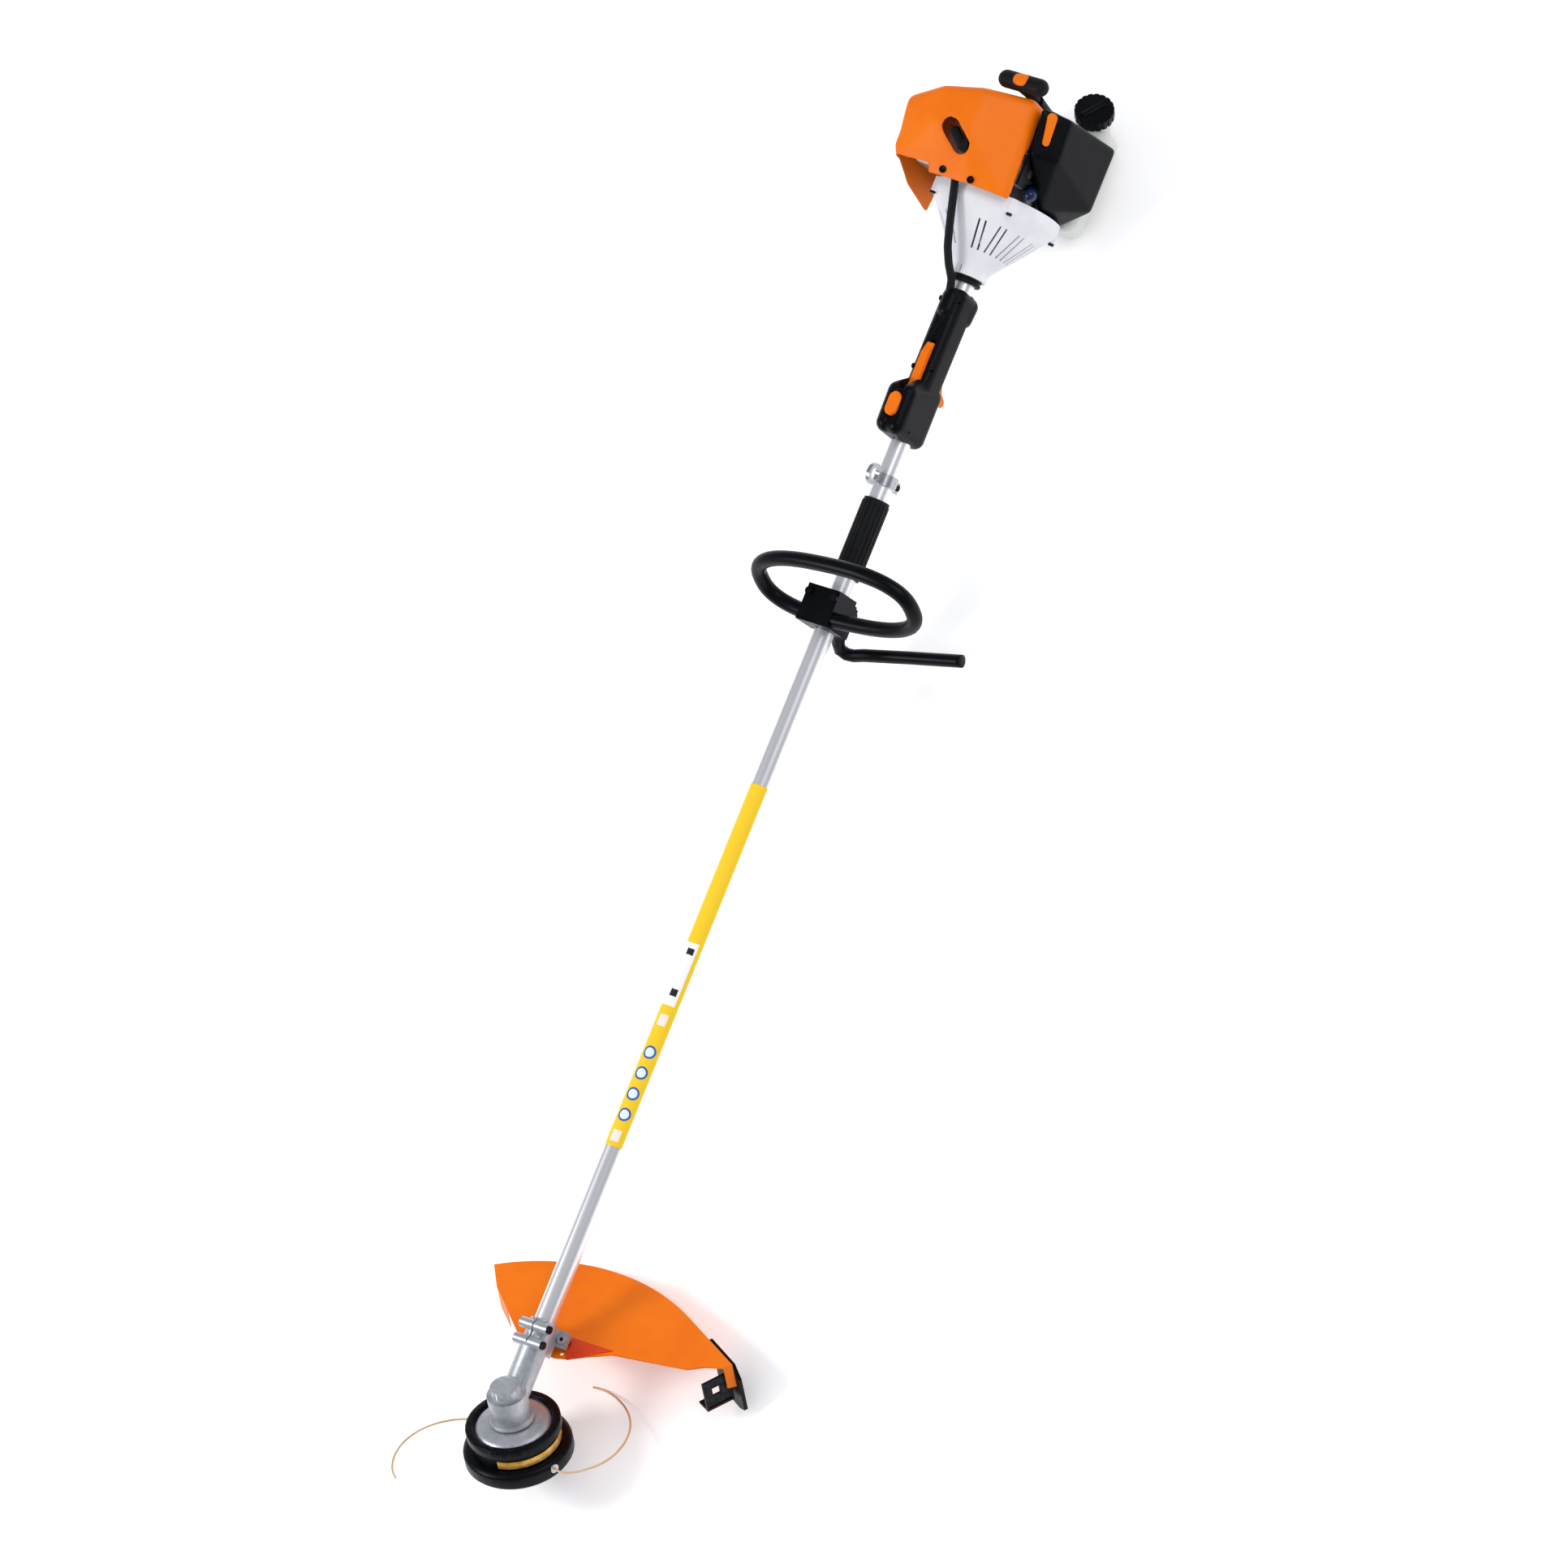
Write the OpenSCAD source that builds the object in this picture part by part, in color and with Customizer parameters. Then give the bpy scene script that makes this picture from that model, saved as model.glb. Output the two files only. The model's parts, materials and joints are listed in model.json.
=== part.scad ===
// Loop-handle brush cutter, lying at rest with its shaft level.
// Machine axes: X runs along the shaft towards the engine, Z is up, and the
// start of X is where the shaft's axis crosses the spindle's axis.
// place() moves the machine so that the middle of the tank foot is the origin.

/* [Shaft] */
// Outer diameter of the aluminium drive tube
tube_d = 25.4; // [24:0.1:26]
// Wall of the drive tube
tube_wall = 1.5; // [1.2:0.1:2]
// Where the drive tube ends inside the fan housing
tube_end = 1480; // [1470:1:1484]
// Diameter of the drive shaft
shaft_d = 7; // [6:0.5:7]
// Number of bushes that carry the drive shaft
bush_count = 5; // [3:1:6]

/* [Gear head] */
// Angle between the shaft's axis and the cutting plane
head_tilt = 35; // [35:1:35]
// Outer diameter of the gear case round the spindle
case_d = 48; // [46:1:50]
// Outer diameter of the neck that clamps the tube
neck_d = 34; // [33:0.5:36]
// Teeth of the pinion
pinion_teeth = 15; // [15:1:15]
// Teeth of the crown gear
crown_teeth = 21; // [21:1:21]

/* [Mowing head] */
// Diameter of the head's upper rim
head_d = 115; // [110:1:118]
// Diameter of the head's lower flange
base_d = 132; // [126:1:136]
// Diameter of the trimmer line
line_d = 2.7; // [2.4:0.1:3]
// Diameter of the bump knob
knob_d = 48; // [44:1:50]

/* [Deflector] */
// Radius of the deflector's outer edge
guard_r = 291; // [285:1:292]
// Wall thickness of the deflector
guard_wall = 2.5; // [2:0.1:3]

/* [Handles] */
// Diameter of the loop handle's tube
loop_d = 19; // [17:0.5:20]
// Half the length of the loop
loop_a = 115; // [105:1:120]
// Half the height of the loop
loop_b = 50; // [46:1:54]
// Outer diameter of the grip sleeve
sleeve_d = 34; // [32:0.5:36]
// Inner radius of the carrying eye
eye_r = 8; // [7:0.5:8.5]

/* [Engine] */
// Cylinder bore
bore_d = 38; // [36:1:40]
// Radius of the fan housing at its widest
fan_r = 80; // [78:1:82]
// Diameter of the fuel cap
cap_d = 48; // [44:1:50]
// Width of the starter grip
grip_w = 69; // [60:1:72]

/* [Hidden] */
$fn = 48;

foot_x = 1617;          // middle of the tank foot along the shaft
foot_z = -125;          // the level the machine rests on
tube_r = tube_d / 2;
fit = 0.02;             // gap of parts that are clamped or pressed together
run = 0.05;             // radial gap of running fits
gap = 0.3;              // gap between parts that move past each other

// engine stations along X
fan_front = 1455;
fan_back = 1552;
cyl_x = 1585;
case_back = 1614;
starter_front = 1630;
starter_back = 1672;
pulley_x = 1661;
pull_lean = 12;         // the starter rope leans back by this angle
rope_y = -32;
rope_r = 1.7;

// control handle stations
grip_front = 1240;
grip_back = 1438;

// bevel gears: cone angles, tooth sizes
pinion_cone = 44.8;
crown_cone = 80.2;
tooth_in = 11;
tooth_out = 16;

// trimmer lines in the cutting plane: [towards the operator, to the left]
line_n = -60;
route_right = [
  [-15.5, 64], [-17.5, 72], [-17, 80], [-12, 90], [-2, 100], [12, 110], [28, 116], [46, 117],
  [64, 114], [81, 107], [96, 96], [108, 82], [117, 66], [123, 49], [125, 32], [124, 22]
];
route_left = [
  [15.5, -64], [15.5, -74], [13, -84], [8, -94], [0, -105], [-10, -115], [-24, -124], [-38, -129],
  [-52, -131], [-66, -130], [-80, -126], [-92, -120], [-103, -111], [-110, -102]
];

// ---- frames and small helpers ----

module place() {
  translate([-foot_x, 0, -foot_z]) children();
}

// local x towards the operator, local z up the spindle
module cutting_plane() {
  place() rotate([0, head_tilt, 0]) children();
}

module along_x(x1, x2, r) {
  translate([x1, 0, 0]) rotate([0, 90, 0]) cylinder(h = x2 - x1, r = r);
}

module block(low, high) {
  translate(low) cube(high - low);
}

module ball_at(p, r) {
  translate(p) sphere(r = r, $fn = 24);
}

module ball_hull(points, r) {
  hull() for (p = points) ball_at(p, r);
}

module screw(d, length, head = 2) {
  union() {
    translate([0, 0, -length]) cylinder(h = length, d = d);
    cylinder(h = d * 0.7, d = d * head);
  }
}

// a round rod swept along points, with a ring at each point; a loop joins its last ring to its first
function unit(v) = v / norm(v);
function next_in(p, i, loop) = loop ? (i + 1) % len(p) : min(i + 1, len(p) - 1);
function before_in(p, i, loop) = loop ? (i + len(p) - 1) % len(p) : max(i - 1, 0);
function heading(p, i, loop) = unit(p[next_in(p, i, loop)] - p[before_in(p, i, loop)]);
module swept(p, r, sides = 8, up = [0, 0, 1], loop = false) {
  count = len(p);
  rings = [for (i = [0:count - 1], k = [0:sides - 1])
    let (ahead = heading(p, i, loop), side = unit(cross(up, ahead)), rise = cross(ahead, side))
    p[i] + r * (cos(360 * k / sides) * side + sin(360 * k / sides) * rise)];
  walls = [for (i = [0:count - (loop ? 1 : 2)], k = [0:sides - 1])
    let (a = i * sides, b = ((i + 1) % count) * sides, k2 = (k + 1) % sides)
    each [[a + k, b + k2, a + k2], [a + k, b + k, b + k2]]];
  ends = [[for (k = [0:sides - 1]) k], [for (k = [0:sides - 1]) count * sides - 1 - k]];
  polyhedron(points = rings, faces = loop ? walls : concat(ends, walls), convexity = 8);
}

// three points for each corner of a route, so that a swept rod bends in a curve
function rounded(p) = [for (i = [0:len(p) - 1])
  each (i == 0 || i == len(p) - 1) ? [p[i]] : [
    p[i] * 0.75 + p[i - 1] * 0.25,
    p[i] * 0.9 + (p[i - 1] + p[i + 1]) * 0.05,
    p[i] * 0.75 + p[i + 1] * 0.25
  ]];

// ---- drive line ----

module drive_tube() {
  color("silver") place() difference() {
    along_x(75, tube_end, tube_r);
    along_x(74, tube_end + 1, tube_r - tube_wall);
  }
}

module drive_shaft() {
  color("dimgray") place() along_x(20.6, 1493.9, shaft_d / 2);
}

module shaft_bushes() {
  span = (1400 - 160) / (bush_count - 1);
  color("ivory") place() for (i = [0:bush_count - 1]) translate([160 + i * span, 0, 0]) difference() {
    along_x(0, 22, tube_r - tube_wall - fit);
    along_x(-1, 23, shaft_d / 2 + run);
    for (a = [0:60:359]) rotate([a, 0, 0]) translate([11, 0, 7.8]) cube([24, 4, 3], center = true);
  }
}

// ---- gear head ----

module gear_case() {
  color("lightgray") difference() {
    union() {
      cutting_plane() translate([0, 0, -16]) cylinder(h = 38, d = case_d);
      cutting_plane() translate([0, 0, 20]) cylinder(h = 14, d = 36);
      cutting_plane() translate([0, 0, -16.2]) cylinder(h = 5, d1 = case_d + 6, d2 = case_d);
      place() along_x(10, 110, neck_d / 2);
      place() for (x = [80, 100]) translate([x, 0, 14.5]) rotate([90, 0, 0])
        cylinder(h = 40, d = 13, center = true);
      place() block([72, -14, -20], [108, 14, 0]);
    }
    cutting_plane() translate([0, 0, -9.4]) cylinder(h = 23, r = 18.6);
    cutting_plane() translate([0, 0, -17]) cylinder(h = 10, r = 15 + fit);
    place() along_x(0, 34, 12 + fit);
    place() along_x(30, 76, 9);
    place() along_x(75 - fit, 112, tube_r + fit);
    place() block([78, -0.8, 0], [112, 0.8, 30]);
    place() for (x = [80, 100]) translate([x, 0, 17]) rotate([90, 0, 0])
      cylinder(h = 60, r = 2.5, center = true);
  }
}

module tooth(h, w) {
  linear_extrude(height = tooth_out - tooth_in)
    polygon([[-h * 2.8, -w * 0.95], [h, -w * 0.45], [h, w * 0.45], [-h * 2.8, w * 0.95]]);
}

module gear_teeth(count, cone, first) {
  for (i = [0:count - 1]) rotate([0, 0, first + i * 360 / count])
    rotate([0, cone, 0]) translate([0, 0, tooth_in]) tooth(0.85, 1.05);
}

module pinion() {
  back = tooth_out * cos(pinion_cone);
  front = tooth_in * cos(pinion_cone);
  color("gray") place() rotate([0, 90, 0]) difference() {
    union() {
      gear_teeth(pinion_teeth, pinion_cone, 0);
      translate([0, 0, front + 0.9]) cylinder(h = back - front, r1 = tooth_in * sin(pinion_cone) - 0.9,
        r2 = tooth_out * sin(pinion_cone) - 0.9);
      translate([0, 0, back + 0.9]) cylinder(h = 2, r1 = tooth_out * sin(pinion_cone) - 0.9, r2 = 8);
      translate([0, 0, back + 2]) cylinder(h = 38.5 - back, r = 5.5);
    }
    translate([0, 0, 20.5]) cylinder(h = 30, r = shaft_d / 2 + fit);
  }
}

module crown_gear() {
  top = tooth_out * cos(crown_cone);
  color("gray") cutting_plane() difference() {
    union() {
      mirror([0, 0, 1]) gear_teeth(crown_teeth, crown_cone, 180 / crown_teeth);
      difference() {
        translate([0, 0, -9.2]) cylinder(h = 9.2 - top, r = 16.6);
        translate([0, 0, -top - 1.2]) cylinder(h = 4, r1 = 18, r2 = 40);
        translate([0, 0, -top - 1.2]) cylinder(h = 4, r = 18);
      }
    }
    translate([0, 0, -12]) cylinder(h = 16, r = 6);
  }
}

module ring_bearing(r_in, r_out, h) {
  difference() {
    cylinder(h = h, r = r_out);
    translate([0, 0, -1]) cylinder(h = h + 2, r = r_in);
    translate([0, 0, -1]) difference() {
      cylinder(h = 2, r = r_out - 2.5);
      cylinder(h = 2, r = r_in + 2);
    }
  }
}

module gear_bearings() {
  color("silver") union() {
    cutting_plane() translate([0, 0, -15.8]) ring_bearing(6 + run, 15, 6.2);
    place() translate([23, 0, 0]) rotate([0, 90, 0]) ring_bearing(5.5 + run, 12, 9);
  }
}

module output_spindle() {
  color("silver") cutting_plane() union() {
    translate([0, 0, -44]) cylinder(h = 41.5, r = 6 - fit);
    translate([0, 0, -18.6]) cylinder(h = 2.2, r = 9);
  }
}

module thrust_plate() {
  color("silver") cutting_plane() difference() {
    rotate_extrude() polygon([
      [6, -18.6], [22, -18.6], [30, -19.2], [42, -22], [46, -25.6], [46, -27.4], [43.5, -27.4],
      [41, -24.4], [30, -21.6], [6, -21.6]
    ]);
    translate([0, 0, -30]) cylinder(h = 14, r = 6);
  }
}

// ---- mowing head ----

module head_housing() {
  r = head_d / 2;
  color("black") cutting_plane() difference() {
    rotate_extrude() polygon([
      [6, -28], [47, -28], [47, -23], [49, -21], [r - 2, -21], [r, -23], [r, -33], [r - 4, -38],
      [r - 4, -52], [r - 8, -52], [r - 8, -33], [r - 10, -31.5], [6, -31.5]
    ]);
    for (a = [0:60:359]) rotate([0, 0, a + 30]) translate([0, 0, -32]) cylinder(h = 6, r = 2.2);
    translate([0, 0, -33]) cylinder(h = 14, r = 6);
  }
}

module head_base() {
  r = base_d / 2;
  color("black") cutting_plane() difference() {
    rotate_extrude() polygon([
      [49, -52], [r - 7, -52], [r - 1, -55], [r, -58], [r, -70], [r - 3, -74], [r - 16, -77],
      [knob_d / 2 + 3, -77], [knob_d / 2 + 3, -74], [r - 17, -74], [r - 6, -70], [r - 4, -67],
      [r - 4, -57], [49, -55]
    ]);
    for (a = [0, 180]) rotate([0, 0, a + 76.5]) translate([r - 8, 0, line_n]) rotate([0, 90, 0])
      cylinder(h = 12, r = 4.5);
  }
}

module line_eyelets() {
  color("silver") cutting_plane() for (a = [0, 180]) rotate([0, 0, a + 76.5])
    translate([base_d / 2 - 5, 0, line_n]) rotate([0, 90, 0]) difference() {
      union() {
        cylinder(h = 6, r = 4.5 - fit);
        translate([0, 0, 5]) cylinder(h = 1.6, r = 5.6);
      }
      translate([0, 0, -1]) cylinder(h = 9, r = line_d / 2 + 0.3);
    }
}

module line_spool() {
  color("dimgray") cutting_plane() difference() {
    union() {
      rotate_extrude() polygon([
        [15, -36.5], [44, -36.5], [44, -39], [20, -39], [20, -48], [42, -48], [42, -50], [20, -50],
        [20, -62], [44, -62], [44, -65], [15, -65]
      ]);
      translate([0, 0, -65]) cylinder(h = 3, r = 16);
    }
    translate([0, 0, -66]) cylinder(h = 10, r = 4);
  }
}

module bump_knob() {
  r = knob_d / 2;
  color("black") cutting_plane() union() {
    rotate_extrude() polygon([
      [0, -87], [r - 6, -87], [r - 1, -84], [r, -80], [r, -65.1], [0, -65.1]
    ]);
    translate([0, 0, -65.2]) cylinder(h = 9, r = 4 - fit);
  }
}

function in_plane(points) = [for (q = points) [q[0], -q[1], line_n]];

module line_right() {
  color("sandybrown") cutting_plane() swept(in_plane(route_right), line_d / 2);
}

module line_left() {
  color("sandybrown") cutting_plane() swept(in_plane(route_left), line_d / 2);
}

// ---- deflector, drawn in the cutting plane as [towards the operator, to the right] ----

guard_mid = [-75, -15];
guard_start = 32;
guard_end = -25;
guard_tail = 101.5;
function guard_arc(r, from, to) = [for (i = [0:24])
  let (a = from + (to - from) * i / 24) guard_mid + r * [cos(a), sin(a)]];

module guard_outline(inset) {
  out = [cos(guard_end), sin(guard_end)];
  along = [sin(guard_end), -cos(guard_end)];
  tail = [guard_mid + (guard_r - inset) * out + (guard_tail - inset) * along];
  inner = [[138, -222], [131, -200], [120, -181], [112, -125], [106, -82], [92, -54], [80, -32],
    [76, -16], [76, 18], [82, 34], [96, 54], [144, 116 - inset]];
  polygon(concat(guard_arc(guard_r - inset, guard_start - inset / 5, guard_end), tail, inner));
}

// everything under the sloping roof, lowered by drop
module under_roof(drop) {
  translate([75, 0, 24 - drop]) rotate([0, -8, 0]) translate([-200, -400, -200]) cube([600, 800, 200]);
}

module deflector() {
  color("darkorange") cutting_plane() difference() {
    intersection() {
      linear_extrude(height = 60) guard_outline(0);
      under_roof(0);
    }
    intersection() {
      translate([0, 0, -1]) linear_extrude(height = 61) union() {
        guard_outline(guard_wall);
        translate([60, -150]) square([60, 290]);
      }
      under_roof(guard_wall);
    }
    translate([96, 0, 0]) cylinder(h = 60, r = 2.6);
    translate([84, 22, 0]) cylinder(h = 60, r = 2.6);
    translate([84, -22, 0]) cylinder(h = 60, r = 2.6);
  }
}

module deflector_clamp() {
  color("dimgray") place() difference() {
    union() {
      block([88, -26, -28], [108, 26, -20.3]);
      for (s = [-1, 1]) translate([98, s * 21, -28]) cylinder(h = 12, d = 11);
    }
    for (s = [-1, 1]) translate([98, s * 21, -40]) cylinder(h = 60, r = 2.5);
  }
}

// local x points out of the deflector at its straight end, and local y back along that end
module guard_end_frame() {
  cutting_plane() translate([guard_mid.x, guard_mid.y, 0]) rotate([0, 0, guard_end])
    translate([guard_r, 0, 0]) children();
}

module deflector_skirt() {
  color("black") guard_end_frame() translate([gap, 0, 0]) rotate([90, 0, 90]) linear_extrude(height = 5)
    polygon([[-108, -34], [-96, -38], [-62, -34], [-44, 20], [-44, 34], [-98, 30], [-108, 12]]);
}

module line_knife() {
  color("dimgray") guard_end_frame() difference() {
    union() {
      block([-6, -95, -22], [-3, -66, 20]);
      block([-40, -95, -16], [-3, -92, 20]);
      block([-40, -95, -22], [-3, -74, -19]);
      block([-40, -95, -22], [-37, -92, 0]);
    }
    block([-29, -98, -3], [-19, -90, 8]);
    translate([-22, -83, -30]) cylinder(h = 20, r = 2.5);
  }
}

// ---- shaft fittings ----

module grip_sleeve() {
  color("black") place() difference() {
    union() {
      along_x(1066, 1166, sleeve_d / 2 - 1);
      for (a = [0:20:359]) rotate([a, 0, 0]) block([1070, -1.5, 0], [1162, 1.5, sleeve_d / 2]);
    }
    along_x(1065, 1167, tube_r + fit);
  }
}

module carry_eyelet() {
  color("silver") place() difference() {
    union() {
      along_x(1184, 1198, tube_r + 2.5);
      translate([1191, 0, 30]) rotate([90, 0, 0]) cylinder(h = 5, r = eye_r + 5, center = true);
      block([1184, -2.5, 10], [1198, 2.5, 24]);
      block([1184, -5, -27], [1198, 5, -12]);
    }
    along_x(1183, 1199, tube_r + fit);
    block([1183, -1, -28], [1199, 1, -10]);
    translate([1191, 0, 30]) rotate([90, 0, 0]) cylinder(h = 7, r = eye_r, center = true);
    translate([1191, 0, -21]) rotate([90, 0, 0]) cylinder(h = 12, r = 2.1, center = true);
  }
}

// the loop stands on the clamp and leans towards the engine
module loop_frame() {
  translate([1010, 0, 27]) rotate([0, 27, 0]) rotate([90, 0, -90]) children();
}

// a flattened oval: squarer than an ellipse by loop_square, turned by loop_roll, shifted to the left
loop_square = 0.8;
loop_roll = 7;
loop_shift = [42, loop_b];
loop_steps = 56;
function bent(v) = sign(v) * pow(abs(v), loop_square);
function oval_point(a) = [loop_a * bent(cos(a)), loop_b * bent(sin(a))];
function rolled(q) = [
  q.x * cos(loop_roll) - q.y * sin(loop_roll) + loop_shift.x,
  q.x * sin(loop_roll) + q.y * cos(loop_roll) + loop_shift.y, 0
];
loop_route = [for (i = [0:loop_steps - 1]) rolled(oval_point(360 * i / loop_steps))];

module loop_handle() {
  color("black") place() loop_frame() swept(loop_route, loop_d / 2, 20, loop = true);
}

module loop_clamp() {
  color("black") place() difference() {
    union() {
      translate([1020, 0, 0]) hull() {
        translate([0, 0, 14]) cube([46, 46, 42], center = true);
        rotate([0, 90, 0]) cylinder(h = 42, r = 19, center = true, $fn = 32);
      }
      block([1000, -14, -26], [1040, 14, 0]);
    }
    along_x(990, 1070, tube_r + fit);
    loop_frame() swept([for (i = [33:51]) loop_route[i]], loop_d / 2 + gap, 20);
    for (y = [-18, 18]) translate([1033, y, -50]) cylinder(h = 100, r = 2.5);
    for (y = [-7, 7]) translate([bar_screw_x, y, -40]) cylinder(h = 21, r = 2.5);
  }
}

bar_screw_x = 1031;
bar_route = [
  [1011, 1, -34.5], [1004, 4, -41], [997, 7, -49], [991, 7, -59], [989, 0, -65], [990, -9, -67],
  [994, -22, -67], [1008, -86, -66], [1021, -150, -64], [1022, -155, -64]
];
module barrier_bar() {
  color("black") place() union() {
    difference() {
      block([1000, -12, -34], [1038, 12, -26.1]);
      for (y = [-7, 7]) translate([bar_screw_x, y, -40]) cylinder(h = 20, r = 2.5);
    }
    swept(bar_route, 8, 16, up = [1, 0, 0]);
  }
}

// ---- control handle ----

module handle_body() {
  difference() {
    union() {
      ball_hull([
        [grip_front + 14, -8, 34], [grip_front + 14, 8, 34], [grip_front + 54, -8, 36],
        [grip_front + 54, 8, 36], [grip_front + 12, -8, -13], [grip_front + 12, 8, -13],
        [grip_front + 66, -8, -12], [grip_front + 66, 8, -12], [grip_front + 66, 0, 22]
      ], 12);
      ball_hull([
        [grip_front + 50, -5, 8], [grip_front + 50, 5, 8], [grip_front + 50, -5, -8],
        [grip_front + 50, 5, -8], [grip_back - 12, -5, 8], [grip_back - 12, 5, 8],
        [grip_back - 12, -5, -9], [grip_back - 12, 5, -9]
      ], 12);
      ball_hull([
        [grip_back - 30, -6, -14], [grip_back - 30, 6, -14], [grip_back - 14, -6, -16],
        [grip_back - 14, 6, -16], [grip_back - 14, 0, 15], [grip_back - 30, 0, 15]
      ], 12);
      ball_hull([
        [grip_front + 62, -3, -18], [grip_front + 62, 3, -18], [grip_front + 120, -3, -10],
        [grip_front + 120, 3, -10]
      ], 9);
    }
    along_x(grip_front - 10, grip_back + 10, tube_r + fit);
    block([1296, -5.5, 13.2], [1368, 5.5, 60]);
    block([1292, -5.5, -60], [1356, 5.5, -13.2]);
    translate([1276, 0, 30]) linear_extrude(height = 30) stop_shape(0.4);
    block([1262, -6, 15], [1290, 6, 31]);
    translate([1436, 4.6, 19.6]) rotate([0, 68, 14]) cylinder(h = 30, r = 6.8, center = true);
    for (x = [1252, 1332, 1420]) translate([x, 0, x == 1252 ? 22 : 16.5]) rotate([90, 0, 0])
      cylinder(h = 60, r = 1.6, center = true);
  }
}

module stop_shape(extra) {
  hull() for (s = [-1, 1]) translate([s * 7, 0]) circle(r = 8 + extra, $fn = 32);
}

module handle_left() {
  color("black") place() intersection() {
    handle_body();
    block([1200, -60, -80], [1460, -0.01, 80]);
  }
}

module handle_right() {
  color("black") place() intersection() {
    handle_body();
    block([1200, 0.01, -80], [1460, 60, 80]);
  }
}

module throttle_trigger() {
  color("darkorange") place() translate([0, 5, 0]) rotate([90, 0, 0]) linear_extrude(height = 10)
    polygon([
      [1352, -15], [1352, -22], [1330, -28], [1318, -36], [1312, -47], [1307, -49], [1303, -46],
      [1304, -30], [1306, -26]
    ]);
}

module throttle_lockout() {
  color("darkorange") place() translate([0, 5, 0]) rotate([90, 0, 0]) linear_extrude(height = 10)
    polygon([
      [1364, 15], [1364, 21], [1350, 26.5], [1306, 26.5], [1302, 23], [1302, 18.5], [1340, 18.5],
      [1350, 15]
    ]);
}

module stop_button() {
  color("darkorange") place() union() {
    translate([1276, 0, 36]) linear_extrude(height = 14) stop_shape(0);
    translate([1276, 0, 33]) cylinder(h = 4, r = 5);
  }
}

module throttle_cable() {
  color("black") place() swept(rounded([
    [1428, 4, 18.5], [1444, 6, 22], [1458, 9, 36], [1476, 10, 52], [1500, 10, 66], [1534, 10, 84],
    [1551, 10, 93]
  ]), 5, 16);
}

// ---- engine, from the clutch to the starter ----

function cone_r(x) = 22.5 + (fan_r - 22.5) * (x - fan_front) / (fan_back - 6 - fan_front);

module fan_housing() {
  color("whitesmoke") place() difference() {
    union() {
      rotate([0, 90, 0]) rotate_extrude() polygon([
        [tube_r + fit, fan_front], [22.5, fan_front], [24, fan_front + 12], [fan_r - 3, fan_back - 16],
        [fan_r, fan_back - 8], [fan_r, fan_back], [fan_r - 3, fan_back], [fan_r - 3, fan_back - 6],
        [cone_r(1500) - 4, 1502], [24, 1484], [tube_r + fit, 1484]
      ]);
      for (a = [45:90:359]) rotate([a, 0, 0]) translate([fan_back - 18, 0, fan_r - 6])
        rotate([0, 90, 0]) cylinder(h = 18, r = 8);
    }
    for (k = [0:4], s = [-1, 1], side = [1, -1]) rotate([side * (24 + 25 * k), 0, 0])
      translate([1485, s * 4 - 1.2, 20]) cube([33, 2.4, 50]);
    block([fan_front - 1, -1, 0], [fan_front + 10, 1, 40]);
    for (a = [45:90:359]) rotate([a, 0, 0]) translate([fan_back - 20, 0, fan_r - 1])
      rotate([0, 90, 0]) cylinder(h = 24, r = 2.2);
  }
}

module clutch_drum() {
  color("gray") place() difference() {
    union() {
      along_x(1494, 1516, 31);
      along_x(1487, 1495, 8);
    }
    along_x(1497, 1517, 28);
    along_x(1480, 1494, shaft_d / 2 + fit);
  }
}

module clutch_rotor() {
  color("dimgray") place() difference() {
    union() {
      along_x(1499, 1515, 9);
      for (a = [0, 180]) rotate([a, 0, 0]) difference() {
        along_x(1500, 1513, 26.5);
        along_x(1499, 1514, 15);
        block([1490, -40, -60], [1520, 40, 3]);
      }
      for (a = [0, 180]) rotate([a, 0, 0]) block([1502, -3, 6], [1510, 3, 17]);
    }
    along_x(1490, 1520, 6);
  }
}

module flywheel() {
  color("silver") place() difference() {
    union() {
      along_x(1522, 1545, 14);
      along_x(1538, 1542, 58);
      for (a = [0:20:359]) rotate([a, 0, 0]) block([1526, -1, 13], [1539, 1, 52]);
    }
    along_x(1520, 1546, 7.5);
  }
}

module ignition_module() {
  color("black") place() union() {
    block([1539, -16, 59.5], [1545, 16, 66]);
    block([1540, -12, 62], [1549, 12, 70]);
  }
}

module crankshaft() {
  color("silver") place() union() {
    along_x(1504, 1519, 6 - fit);
    along_x(1519, 1576, 7.5 - fit);
    along_x(1594, 1655, 7.5 - fit);
    for (x = [1570, 1592]) difference() {
      along_x(x, x + 8, 26);
      block([x - 1, -30, 4], [x + 9, -9, 30]);
      block([x - 1, 9, 4], [x + 9, 30, 30]);
    }
    translate([0, 0, 16]) along_x(1578, 1592, 5 - fit);
  }
}

module connecting_rod() {
  color("gray") place() difference() {
    union() {
      translate([0, 0, 16]) along_x(1580, 1590, 9);
      translate([0, 0, 66]) along_x(1580, 1590, 7.5);
      block([1582.5, -4, 22], [1587.5, 4, 62]);
    }
    translate([0, 0, 16]) along_x(1570, 1600, 5 + run);
    translate([0, 0, 66]) along_x(1570, 1600, 4 + run);
  }
}

module piston() {
  color("silver") place() difference() {
    union() {
      translate([cyl_x, 0, 52]) cylinder(h = 34, r = bore_d / 2 - run);
    }
    translate([cyl_x, 0, 50]) cylinder(h = 31, r = 15.5);
    for (z = [78.5, 82]) translate([cyl_x, 0, z]) difference() {
      cylinder(h = 1.4, r = bore_d / 2 + 1);
      translate([0, 0, -1]) cylinder(h = 4, r = bore_d / 2 - 1.2);
    }
  }
}

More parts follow.
